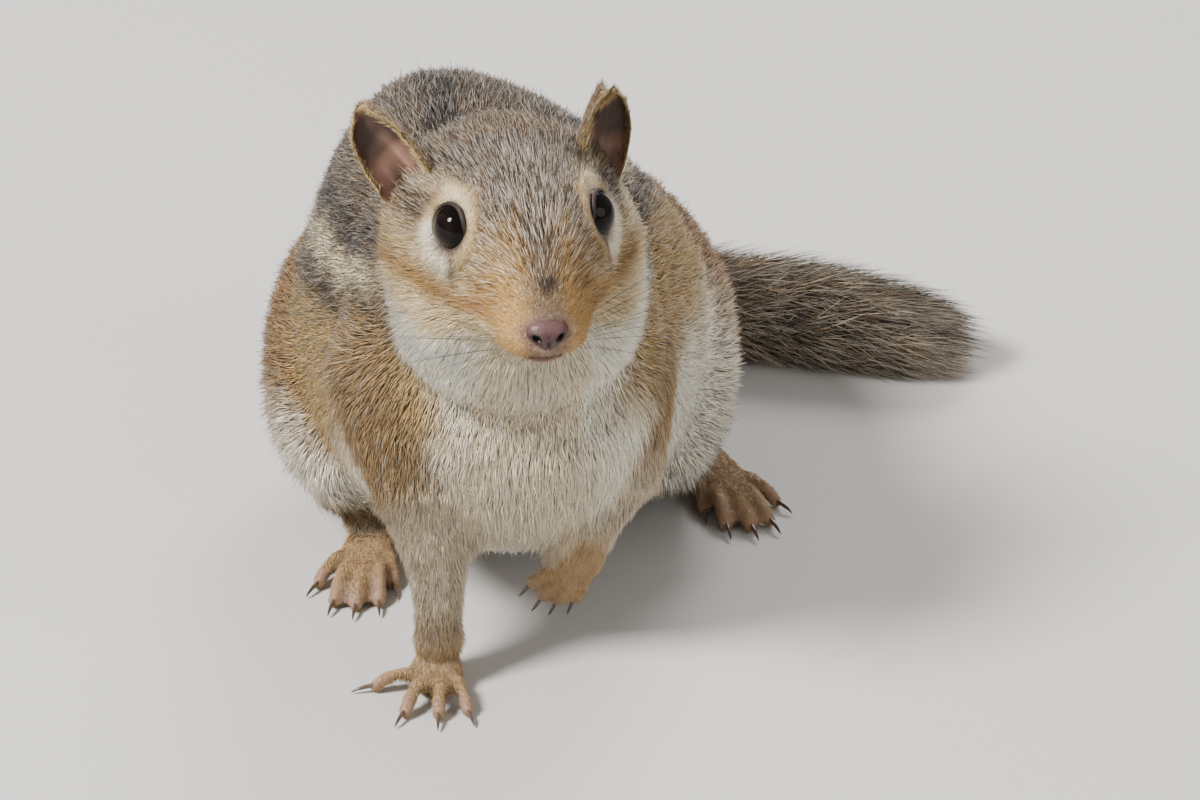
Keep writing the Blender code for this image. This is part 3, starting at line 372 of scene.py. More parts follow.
def face_markings(points, colours):
    """Main colour and share of grizzled hair on the head."""
    place = to_head(points)
    x, y, z = place.T
    side = np.abs(x)
    wander = waves(points, 6, 8) * 0.6 + waves(points, 2.5, 9) * 0.25
    flat = place[:, 1:]
    sides = step(2.8, 4.6, side)
    eye = EyePlaces(points)
    turn = np.arctan2(eye.rise, eye.back)
    main = np.tile(colours.crown, (len(points), 1))
    main = mix(main, colours.flank, step(6.5, 0.5, z + wander) * step(2.5, 6.5, side))
    main = mix(main, colours.muzzle, step(1.0, 4.2, side) * step(-4.5, -9.0, y)
               * step(-9.5, -7.0, z))
    cream = colours.pale * 0.75 + colours.muzzle * 0.25
    main = mix(main, cream, step(-3.4, -5.2, z + wander) * 0.90 * step(-14.5, -11.0, y))
    main = mix(main, colours.white, step(-6.5, -10.0, z + wander) * step(4.0, 9.0, side) * 0.95)
    main = mix(main, colours.buff, step(-9.0, -12.0, z + wander) * step(8.5, 4.0, side))
    main = mix(main, colours.rump, band(-1, 0.8, 1.0, near_line(flat, CHEEK_STRIPE) + wander)
               * sides * 0.70)
    main = mix(main, colours.muzzle, band(-1, 1.3, 1.2, near_line(flat, BROW_STRIPE)) * sides * 0.8)
    main = mix(main, cream, band(-1, 1.3, 1.6, near_line(flat, UNDER_STRIPE) + wander * 0.8)
               * sides * 0.62)
    above = step(0.35, 0.95, np.cos(turn - math.radians(84)))
    before = step(0.1, 0.8, np.cos(turn - math.radians(160)))
    below = step(0.15, 0.9, np.cos(turn + math.radians(66)))
    rim = eye.round + wander * 0.6
    main = mix(main, colours.flank * 0.8 + colours.pale * 0.2, step(5.6, 4.2, rim) * 0.55)
    main = mix(main, cream, before * step(5.6, 4.0, rim) * 0.5)
    main = mix(main, colours.pale, above * step(6.2, 4.2, rim) * 0.72)
    light = colours.white * 0.65 + colours.pale * 0.35
    main = mix(main, light, below * step(7.2, 4.6, rim) * 0.95)
    main = mix(main, colours.pale, band(-1, 0.8, 0.9, near_line(flat, BROW_STRIPE)) * sides
               * step(-5.0, -1.0, y) * 0.8)
    main = mix(main, colours.rump * 0.45, band(-1, 0.55, 0.8, near_line(flat, EYE_STRIPE))
               * sides * 0.85)
    main = mix(main, colours.rump * 0.30, band(-1, 0.35, 0.6, near_line(flat, CORNER_STRIPE))
               * sides * 0.90)
    main = mix(main, colours.rump * 0.30, step(1.50, 1.22, eye.open + wander * 0.05) * 0.8)
    pad = np.linalg.norm((place - NOSE_AT - PAD_SHIFT) / PAD_SIZE, axis=1)
    main = mix(main, colours.nose * 3.0 + 0.12, step(1.8, 1.1, pad) * step(-8.0, -6.0, z) * 0.5)
    spot = np.linalg.norm((place - SPOT_AT) / (1.5, 1.4, 1.2), axis=1)
    main = mix(main, colours.dark, step(1.6, 0.5, spot + wander * 0.3) * 0.88)
    grizzle = 0.95 * step(-3, 4, z + wander) * step(-16, -9, y) * step(5.5, 7.0, eye.round) + 0.14
    return main, grizzle


def markings(points, plan, colours):
    """Main colour and share of grizzled hair everywhere, from the weights of head, feet and limbs."""
    body, body_grizzle = body_markings(points, plan["Limbs"], colours)
    face, face_grizzle = face_markings(points, colours)
    main = mix(body, face, plan["Face"])
    grizzle = body_grizzle + (face_grizzle - body_grizzle) * plan["Face"]
    main = mix(main, colours.feet, plan["Feet"])
    return main, grizzle * (1 - plan["Feet"])


class Palette:
    """The colours of a CoatColours group as arrays."""

    def __init__(self, group):
        for name in CoatColours.__annotations__:
            setattr(self, name, np.array(getattr(group, name)))


# The coat over each kind of node: its depth in mm, the hair's length as a share of the region's, and
# how closely the tufts stand beside each other
COAT_OF = {
    "head": (1.2, 1.0, 1.0), "neck": (1.5, 0.80, 1.15), "chest": (1.5, 0.84, 1.3),
    "belly": (1.6, 1.0, 1.0), "rump": (1.7, 1.0, 1.0), "tail": (2.0, 0.8, 1.0),
    "upper_arm": (1.3, 0.72, 1.1), "forearm": (0.7, 0.34, 0.9), "forepaw": (0.3, 1.0, 0.9),
    "thigh": (1.5, 0.92, 1.05), "shank": (0.9, 0.45, 0.75), "hind_foot": (0.3, 1.0, 0.9),
    "nose": (0.0, 0.3, 1.0),
}
SHORT_HAIR = 3.75  # mm, up to which a tuft is a straight one
FLESH_SWELL = 0.25  # mm, so that the nodes' solids meet before they are joined
TAIL_SKIN = 2.6  # mm, radius of the skin inside the tail's hair
TAIL_END = 17.5  # mm, how far the hair reaches past the end of the bone

# The bone's line in the tail, in mm of the plan, with how far the hair stands out there
TAIL_LINE = np.array([
    (-2.2, 94.5, 24.5, 5.0), (-2.2, 99.0, 21.0, 5.4), (-0.6, 104.5, 15.6, 6.0),
    (4.5, 110.0, 10.0, 7.0), (13.0, 113.6, 6.8, 8.0), (25.0, 115.0, 5.6, 8.8),
    (38.0, 113.6, 5.2, 9.2), (49.0, 110.6, 5.0, 8.8), (56.0, 108.2, 4.8, 7.8),
])

# Which way the hair lies: places and directions in the head's frame and in the plan
HEAD_LIE = [
    ((0, -14, -1), (0, 1, 0.4)), ((0, -6, 9), (0, 1, 0.3)), ((0, 6, 13), (0, 1, -0.05)),
    ((0, 18, 9), (0, 1, -0.2)), ((7, -10, -3), (0.5, 1, -0.15)), ((-7, -10, -3), (-0.5, 1, -0.15)),
    ((15, 6, -5), (0.2, 1, -0.45)), ((-15, 6, -5), (-0.2, 1, -0.45)),
    ((16, 14, 2), (0, 1, -0.2)), ((-16, 14, 2), (0, 1, -0.2)),
    ((0, -10, -12), (0, 0.6, -1)), ((6, -4, -14), (0.3, 0.5, -1)), ((-6, -4, -14), (-0.3, 0.5, -1)),
]
BODY_LIE = [
    ((0, 30, 68), (0, 1, 0)), ((0, 60, 64), (0, 1, -0.15)), ((0, 85, 50), (0, 1, -0.5)),
    ((22, 24, 52), (0.1, 1, -0.5)), ((-20, 24, 52), (-0.1, 1, -0.5)),
    ((26, 45, 40), (0, 1, -0.45)), ((-26, 45, 40), (0, 1, -0.45)),
    ((29, 66, 32), (0, 1, -0.35)), ((-29, 66, 32), (0, 1, -0.35)),
    ((3, 8, 42), (0, 0.15, -1)), ((10, 10, 50), (0.25, 0.2, -1)), ((-6, 10, 50), (-0.25, 0.2, -1)),
    ((3, 12, 30), (0, 0.35, -1)), ((3, 25, 14), (0, 1, -0.3)), ((0, 50, 7), (0, 1, 0)),
    ((0, 75, 7), (0, 1, 0.1)), ((0, 97, 30), (0, 0.6, -0.8)),
    ((24, 78, 28), (0.1, 0.8, -0.6)), ((-24, 78, 28), (-0.1, 0.8, -0.6)),
    ((24, 60, 15), (0, 0.8, -0.5)), ((-24, 60, 15), (0, 0.8, -0.5)),
    ((-13, 19, 32), (0, -0.25, -1)), ((-10, 14, 20), (0, -0.12, -1)), ((-9, 11, 8), (0, -0.2, -1)),
    ((16, 24, 32), (0, -0.2, -1)), ((14, 22, 22), (-0.35, -0.3, -0.9)),
    ((10, 22, 12), (0, -0.15, -1)), ((-9, 4, 3), (0, -1, -0.25)), ((-9, 8, 5), (0, -1, -0.6)),
    ((-20, 50, 4), (0.1, -1, -0.2)), ((-21, 36, 3), (0, -1, -0.3)),
    ((26, 78, 4), (0.3, -1, -0.2)), ((33, 60, 3), (0.35, -1, -0.3)),
]
LIE_REACH = 5.0  # mm, within which the nearest direction rules


def lie_at(points):
    """The direction in which the hair lies, before it is laid onto the surface."""
    total = np.zeros_like(points)
    guides = [(from_head(np.array([at], float))[0], np.array(way, float) @ HEAD_TURN.T)
              for at, way in HEAD_LIE]
    guides += [(np.array(at, float), np.array(way, float)) for at, way in BODY_LIE]
    for at, way in guides:
        away = ((points - at) ** 2).sum(1)
        total += unit(way)[None] / (away + LIE_REACH ** 2)[:, None] ** 1.7
    return unit(total)


# The skin

def welded(node):
    """A node's points in mm of the plan, with their normals and its triangles."""
    work = bmesh.new()
    work.from_mesh(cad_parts[node].data)
    bmesh.ops.remove_doubles(work, verts=work.verts, dist=1e-6)
    bmesh.ops.triangulate(work, faces=work.faces)
    work.normal_update()
    points = np.array([v.co for v in work.verts]) / MM - PLAN_AT
    normals = np.array([v.normal for v in work.verts])
    work.verts.index_update()
    faces = np.array([[v.index for v in f.verts] for f in work.faces])
    work.free()
    return points, normals, faces


def kind_of(node):
    for kind in COAT_OF:
        if node.startswith(kind):
            return kind
    return None


def tail_frames(shares):
    """Points along the tail's line, with its direction, up, side and reach there."""
    count = len(TAIL_LINE)
    fine = np.linspace(0, count - 1, 240)
    padded = np.vstack([TAIL_LINE[:1], TAIL_LINE, TAIL_LINE[-1:]])
    first = np.minimum(fine.astype(int), count - 2)
    t = (fine - first)[:, None]
    a, b, c, d = (padded[first + k] for k in range(4))
    rows = 0.5 * (2 * b + (c - a) * t + (2 * a - 5 * b + 4 * c - d) * t ** 2
                  + (3 * b - a - 3 * c + d) * t ** 3)
    lengths = np.linalg.norm(np.diff(rows[:, :3], axis=0), axis=1)
    along = np.concatenate([[0], np.cumsum(lengths)])
    total = along[-1]
    at = np.clip(shares, 0, 1) * total
    points = np.stack([np.interp(at, along, rows[:, k]) for k in range(3)], 1)
    reach = np.interp(at, along, rows[:, 3])
    ahead = np.stack([np.interp(np.minimum(at + 1, total), along, rows[:, k]) for k in range(3)], 1)
    behind = np.stack([np.interp(np.maximum(at - 1, 0), along, rows[:, k]) for k in range(3)], 1)
    way = unit(ahead - behind)
    points = points + way * (np.maximum(shares - 1, 0) * total)[:, None]
    side = unit(np.cross(way, (0, 0, 1.0)))
    up = np.cross(side, way)
    return points, way, up, side, reach, total


def tail_tube():
    """The skin of the tail, as points and triangles in the plan."""
    rings, sides = 60, 16
    shares = np.linspace(0, 1.0, rings)
    points, way, up, side, reach, total = tail_frames(shares)
    radius = TAIL_SKIN * np.where(shares > 0.9, np.sqrt(np.maximum(1 - ((shares - 0.9) / 0.1) ** 2,
                                                                  0.02)), 1)
    radius = radius + 1.6 * step(0.25, 0.0, shares)
    angles = np.arange(sides) * 2 * math.pi / sides
    ring = (points[:, None] + radius[:, None, None]
            * (up[:, None] * np.cos(angles)[None, :, None]
               + side[:, None] * np.sin(angles)[None, :, None])).reshape(-1, 3)
    faces = []
    for i in range(rings - 1):
        for k in range(sides):
            a, b = i * sides + k, i * sides + (k + 1) % sides
            faces += [(a, b, b + sides), (a, b + sides, a + sides)]
    first, last = len(ring), len(ring) + 1
    for k in range(sides):
        faces.append((first, (k + 1) % sides, k))
        end = (rings - 1) * sides
        faces.append((last, end + k, end + (k + 1) % sides))
    return np.vstack([ring, points[:1], points[-1:]]), np.array(faces)


def joined_flesh(voxel):
    """The flesh nodes and the tail's skin as one closed surface, and the trees of their points."""
    parts, tree_points, tree_kinds = [], [], []
    kinds = list(COAT_OF)
    for node in sorted(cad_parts):
        kind = kind_of(node)
        if kind is None:
            continue
        points, normals, faces = welded(node)
        tree_points += [points, points[faces].mean(1)]
        tree_kinds += [kinds.index(kind)] * (len(points) + len(faces))
        if kind != "tail":
            parts.append((points + normals * FLESH_SWELL, faces))
    parts.append(tail_tube())
    offset, all_points, all_faces = 0, [], []
    for points, faces in parts:
        all_points.append(points)
        all_faces.append(faces + offset)
        offset += len(points)
    mesh = mesh_from_arrays("skin", np.vstack(all_points) * MM, np.vstack(all_faces))
    obj = add_object("skin", mesh)
    remesh = obj.modifiers.new("join", "REMESH")
    remesh.mode = "VOXEL"
    remesh.voxel_size = voxel
    bake(obj)
    tree = KDTree(len(tree_kinds))
    for i, point in enumerate(np.vstack(tree_points)):
        tree.insert(point, i)
    tree.balance()
    return obj, tree, np.array(tree_kinds)


def bake(obj):
    """Applies an object's modifiers."""
    graph = bpy.context.evaluated_depsgraph_get()
    graph.update()
    mesh = bpy.data.meshes.new_from_object(obj.evaluated_get(graph))
    obj.modifiers.clear()
    old = obj.data
    obj.data = mesh
    bpy.data.meshes.remove(old)


def edges_of(mesh):
    pairs = np.empty(len(mesh.edges) * 2, np.int32)
    mesh.edges.foreach_get("vertices", pairs)
    return pairs.reshape(-1, 2)


def smoothed(values, pairs, weight, rounds):
    """Each value drawn towards the mean of its neighbours', by the given weight, again and again."""
    values = np.array(values, float)
    flat = values[:, None] if values.ndim == 1 else values
    a, b = pairs.T
    count = np.maximum(np.bincount(a, minlength=len(flat)) + np.bincount(b, minlength=len(flat)), 1)
    weight = np.broadcast_to(np.asarray(weight, float), (len(flat),))
    for _ in range(rounds):
        for k in range(flat.shape[1]):
            column = flat[:, k]
            total = (np.bincount(a, weights=column[b], minlength=len(flat))
                     + np.bincount(b, weights=column[a], minlength=len(flat)))
            flat[:, k] = column + weight * (total / count - column)
    return flat[:, 0] if values.ndim == 1 else flat


def eye_frame(side):
    """An eye's centre in the head's frame, the way it looks, and its ways to the rear and up."""
    flat = math.cos(EYE_LIFT)
    axis = np.array((side * math.sin(EYE_TURN) * flat, -math.cos(EYE_TURN) * flat,
                     math.sin(EYE_LIFT)))
    rear = unit(np.cross((0, 0, 1.0), axis)) * side
    up = np.cross(axis, rear) * side
    out, back, rise = EYE_SHIFT
    centre = np.array(EYE_HEIGHT) + (8.7 * side, 0, 0) + axis * out + rear * back + up * rise
    return centre, axis, rear, up


class EyePlaces:
    """Where points of the plan lie from the nearer eye: distance, out along its axis, back and up."""

    def __init__(self, points):
        rows, ways = [], []
        for side in (1, -1):
            centre, axis, rear, up = eye_frame(side)
            away = to_head(points) - centre
            rows.append((np.linalg.norm(away, axis=1), away @ axis, away @ rear, away @ up))
            ways.append(np.outer(away @ rear, rear) + np.outer(away @ up, up))
        rows = np.array(rows)
        nearer = rows[:, 0].argmin(0)
        self.reach, self.out, self.back, self.rise = rows[nearer, :, np.arange(len(points))].T
        self.radial = unit(np.array(ways)[nearer, np.arange(len(points))] @ HEAD_TURN.T)
        self.round = np.hypot(self.back, self.rise) + 9 * (self.out < 0)
        self.open = np.hypot(self.back / LID_LONG, self.rise / LID_TALL) + 3 * (self.out < 0)


def lid_rings():
    """The lids' rims round both eyes: points and triangles in the plan, and how far out each point is."""
    turns, around = 84, 12
    all_points, faces, outs = [], [], []
    for side in (1, -1):
        centre, axis, rear_way, up = eye_frame(side)
        base = len(all_points)
        for k in range(turns):
            angle = 2 * math.pi * k / turns
            front = max(0.0, -math.cos(angle)) ** 7
            rear = max(0.0, math.cos(angle)) ** 7
            way = (rear_way * (math.cos(angle) * LID_LONG * (1 + 0.12 * front + 0.05 * rear))
                   + up * (math.sin(angle) * LID_TALL - 0.60 * front))
            reach = np.linalg.norm(way)
            out = way / reach
            ball = EYE_RADIUS + 0.06
            fall = math.asin(min(reach / ball, 0.97))
            middle = centre + axis * (ball * math.cos(fall) - 0.35 * front) + out * reach
            away = out * math.cos(fall) - axis * math.sin(fall)
            proud = out * math.sin(fall) + axis * math.cos(fall)
            wide = 0.27 + 0.09 * max(0.0, math.sin(angle + 0.5))
            for j in range(around):
                turn = 2 * math.pi * j / around
                bump = 0.19 + 0.02 * math.sin(angle * 9) * math.cos(angle * 5)
                all_points.append(middle + away * wide * (1 + math.cos(turn))
                                  + proud * bump * math.sin(turn))
                outs.append((1 + math.cos(turn)) / 2)
        for k in range(turns):
            for j in range(around):
                a = base + k * around + j
                b = base + k * around + (j + 1) % around
                c = base + ((k + 1) % turns) * around + (j + 1) % around
                d = base + ((k + 1) % turns) * around + j
                faces += [(a, b, c), (a, c, d)]
    points, faces = np.array(all_points), np.array(faces)
    half = len(faces) // 2
    for part in (slice(0, half), slice(half, None)):
        if volume(points, faces[part]) < 0:
            faces[part] = faces[part][:, ::-1]
    return from_head(points), faces, np.array(outs)


def volume(points, faces):
    """Six times the space that closed triangles hold, below 0 where they face inwards."""
    corners = points[faces] - points.mean(0)
    return np.einsum("ij,ij->i", corners[:, 0], np.cross(corners[:, 1], corners[:, 2])).sum()


# Each ear in the head's frame: the middle of its root, its tip and the way its hollow looks
EARS = {
    1: ((11.8, 15.8, 5.4), (14.8, 16.6, 13.0), (0.50, -0.86, 0.0)),
    -1: ((-12.6, 15.0, 5.2), (-18.9, 15.6, 13.6), (-0.50, -0.86, 0.0)),
}
EAR_WIDTH = 8.8
EAR_THICK = 0.62
NOTCH_AT, NOTCH_WIDE, NOTCH_DEEP = 0.15, 0.46, 0.42  # of the left ear's tear, as shares


def ear_shell(side):
    """One ear: points and triangles in the plan, which face each is on and its place on the ear."""
    root, tip, look = (np.array(value, float) for value in EARS[side])
    along = unit(tip - root)
    length = np.linalg.norm(tip - root)
    look = unit(look - along * (look @ along))
    across = np.cross(along, look) * side
    rows, columns = 40, 40
    s, u = np.meshgrid(np.linspace(0, 1, rows + 1), np.linspace(-1, 1, columns + 1), indexing="ij")
    tall = np.ones_like(u)
    if side == 1:
        cut = np.maximum(0, 1 - np.abs(u - NOTCH_AT) / NOTCH_WIDE)
        ragged = 1 + 0.16 * np.sin(u * 37) + 0.08 * np.sin(u * 91)
        tall = 1 - NOTCH_DEEP * cut ** 0.8 * ragged
    width = EAR_WIDTH / 2 * np.sqrt(1 - (np.abs(s - 0.35) / 0.68) ** 2.3)
    cup = 3.4 * (1 - s) + 2.0 * s
    edge = np.maximum(np.abs(u), s ** 2)
    roll = np.exp(-((edge - 0.95) / 0.08) ** 2)
    ridge = np.exp(-((u + 0.22 - 0.35 * s) / 0.13) ** 2) * step(0.72, 0.25, s) * 1.0
    ridge = ridge + np.exp(-((u - 0.38) / 0.09) ** 2) * step(0.50, 0.15, s) * 0.6
    ridge = ridge + 0.14 * np.sin(s * 34 + u * 4) * (1 - edge) * step(0.3, 0.6, s)
    middle = (root + along * (length * s * tall - 3.2 * (1 - s) + 0.9 * (1 - u * u) * s)[..., None]
              + across * (width * np.sin(u * math.pi / 2))[..., None]
              + look * (cup * (1 - np.cos(u * math.pi / 2)) - 1.6 * s * s)[..., None])
    half = EAR_THICK / 2 * (1.25 - 0.5 * s)
    inner = middle + look * (half * 0.8 + roll * 0.30 + ridge)[..., None]
    outer = middle - look * (half * 0.8 + roll * 0.08)[..., None]
    points = np.concatenate([inner.reshape(-1, 3), outer.reshape(-1, 3)])
    inside = np.repeat([1.0, 0.0], (rows + 1) * (columns + 1))
    place = np.tile(np.stack([s.ravel(), u.ravel()], 1), (2, 1))
    number = np.arange((rows + 1) * (columns + 1)).reshape(rows + 1, columns + 1)
    a, b = number[:-1, :-1].ravel(), number[:-1, 1:].ravel()
    c, d = number[1:, 1:].ravel(), number[1:, :-1].ravel()
    back = number.size
    faces = [np.stack([a, b, c], 1), np.stack([a, c, d], 1),
             np.stack([a, c, b], 1) + back, np.stack([a, d, c], 1) + back]
    rim = np.concatenate([number[0, :-1], number[:-1, -1], number[-1, :0:-1], number[:0:-1, 0]])
    after = np.roll(rim, -1)
    faces += [np.stack([rim, rim + back, after + back], 1), np.stack([rim, after + back, after], 1)]
    faces = np.concatenate(faces)
    if volume(points, faces) < 0:
        faces = faces[:, ::-1]
    return from_head(points), faces, inside, place


PLAN_NAMES = ("Length", "Close", "Head", "Face", "Feet", "Tail", "Limbs")


def build_skin(sizes, palette):
    """One closed skin under the whole coat, with the coat's plan painted on it."""
    obj, tree, tree_kinds = joined_flesh(sizes.voxel)
    mesh = obj.data
    points = read_points(mesh) / MM
    pairs = edges_of(mesh)
    kinds = list(COAT_OF)
    found = np.array([tree.find(point)[1] for point in points])
    kind = tree_kinds[found]
    table = np.array([COAT_OF[name] for name in kinds])
    depth, share, close = table[kind].T

    def among(*names):
        return np.isin(kind, [kinds.index(name) for name in names]).astype(float)
    head = among("head", "nose")
    feet = among("forepaw", "hind_foot")
    taily = among("tail")
    limbs = among("upper_arm", "forearm", "thigh", "shank")
    base = np.where(head > 0.5, sizes.face_hair, sizes.body_hair) / MM
    base = np.where(feet > 0.5, sizes.foot_hair / MM, base)
    to_eye = EyePlaces(points).reach
    to_nose = np.linalg.norm(to_head(points) - NOSE_AT, axis=1)
    length = base * share
    length = np.where(head > 0.5, length * (0.24 + 0.76 * step(4.5, 13, to_eye))
                      * (0.28 + 0.72 * step(3, 16, to_nose)), length)
    face = smoothed(head, pairs, 0.8, 110)
    plan = np.stack([depth, length, close, head, feet, taily, limbs], 1)
    depth, length, close, head, feet, taily, limbs = smoothed(plan, pairs, 0.6, 24).T
    depth = depth * (0.12 + 0.88 * step(4.6, 9.5, to_eye)) * (0.05 + 0.95 * step(3.0, 10, to_nose))
    depth = depth - 0.30 * feet * step(6.5, 3.2, to_claws(points))
    depth = depth + 0.75 * step(3.1, 2.0, np.linalg.norm(
        (to_head(points) - NOSE_AT - (0, -0.6, 0.2)) / (1.25, 1, 0.82), axis=1))
    outer = smoothed(points, pairs, 0.5 * (1 - 0.7 * feet), 6)
    outer = smoothed(outer, pairs, 0.6 * (1 - head) * (1 - feet), 30)
    mesh.vertices.foreach_set("co", (outer * MM).astype(np.float32).ravel())
    mesh.update()
    inner = outer.copy()
    for _ in range(3):
        normals = smoothed(read_points(mesh, "normal"), pairs, 0.6, 4)
        inner = inner - unit(normals) * ((depth + FLESH_SWELL) * (1 - taily) / 3)[:, None]
        inner = smoothed(inner, pairs, 0.4 * (1 - head * 0.5) * (1 - feet), 3)
        mesh.vertices.foreach_set("co", (inner * MM).astype(np.float32).ravel())
        mesh.update()
    inner[:, 2] = np.maximum(inner[:, 2], 0.08)
    mesh.vertices.foreach_set("co", (inner * MM).astype(np.float32).ravel())
    set_vector(mesh, "Outer", outer)
    for name, column in zip(PLAN_NAMES, (length, close, head, face, feet, taily, limbs)):
        set_value(mesh, name, column)
    thin = obj.modifiers.new("thin", "DECIMATE")
    thin.ratio = 0.42
    bake(obj)
    return finish_skin(obj, palette)


def lips(surface):
    """The two lips as soft rolls on the skin: points and triangles in the plan, upper lip first."""
    line = np.array(MOUTH_LINE)
    spots = np.linspace(-3.9, 3.9, 40)
    pieces = []
    for drop, reach, thick in ((0.32, 2.4, 0.20), (-0.40, 1.9, 0.32)):
        middles = []
        for x in spots * reach / 3.9:
            z = np.interp(x, line[:, 0], line[:, 1]) + drop
            start = from_head(np.array([(x, -40.0, z)]))[0]
            hit = surface.ray_cast(Vector(start), Vector(HEAD_TURN @ (0, 1.0, 0)))[0]
            if hit is not None:
                middles.append(to_head(np.array([hit]))[0])
        middles = np.array(middles)
        count, around = len(middles), 10
        taper = np.sqrt(np.clip(1 - (np.linspace(-1, 1, count)) ** 2, 0.02, 1)) * thick
        angles = np.arange(around) * 2 * math.pi / around
        ring = np.stack([np.zeros(around), -np.cos(angles) * 0.8, np.sin(angles)], 1)
        points = middles[:, None] + ring[None] * taper[:, None, None]
        number = np.arange(count * around).reshape(count, around)
        a, b = number[:-1], np.roll(number[:-1], -1, 1)
        c, d = np.roll(number[1:], -1, 1), number[1:]
        faces = [np.stack([a.ravel(), b.ravel(), c.ravel()], 1),
                 np.stack([a.ravel(), c.ravel(), d.ravel()], 1)]
        for end in (0, count - 1):
            loop = number[end]
            fan = np.stack([np.full(around - 2, loop[0]), loop[1:-1], loop[2:]], 1)
            faces.append(fan[:, ::-1] if end == 0 else fan)
        faces = np.concatenate(faces)
        points = points.reshape(-1, 3)
        if volume(points, faces) < 0:
            faces = faces[:, ::-1]
        pieces.append((from_head(points), faces))
    return pieces


def to_claws(points):
    """Distance from points of the plan to the nearest claw."""
    claws = [np.array(box_middle(node)) / MM - PLAN_AT for node in sorted(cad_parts)
             if node.startswith("claw")]
    return np.min([np.linalg.norm(points - claw, axis=1) for claw in claws], axis=0)


def hollows(obj):
    """0 on open skin to 1 in its creases, the mask for the shade painted into them."""
    mesh = obj.data
    pairs = edges_of(mesh)
    points = read_points(mesh) / MM
    dent = ((smoothed(points, pairs, 1.0, 5) - points) * read_points(mesh, "normal")).sum(1)
    return smoothed(np.clip(dent * 5, 0, 1), pairs, 0.5, 2)


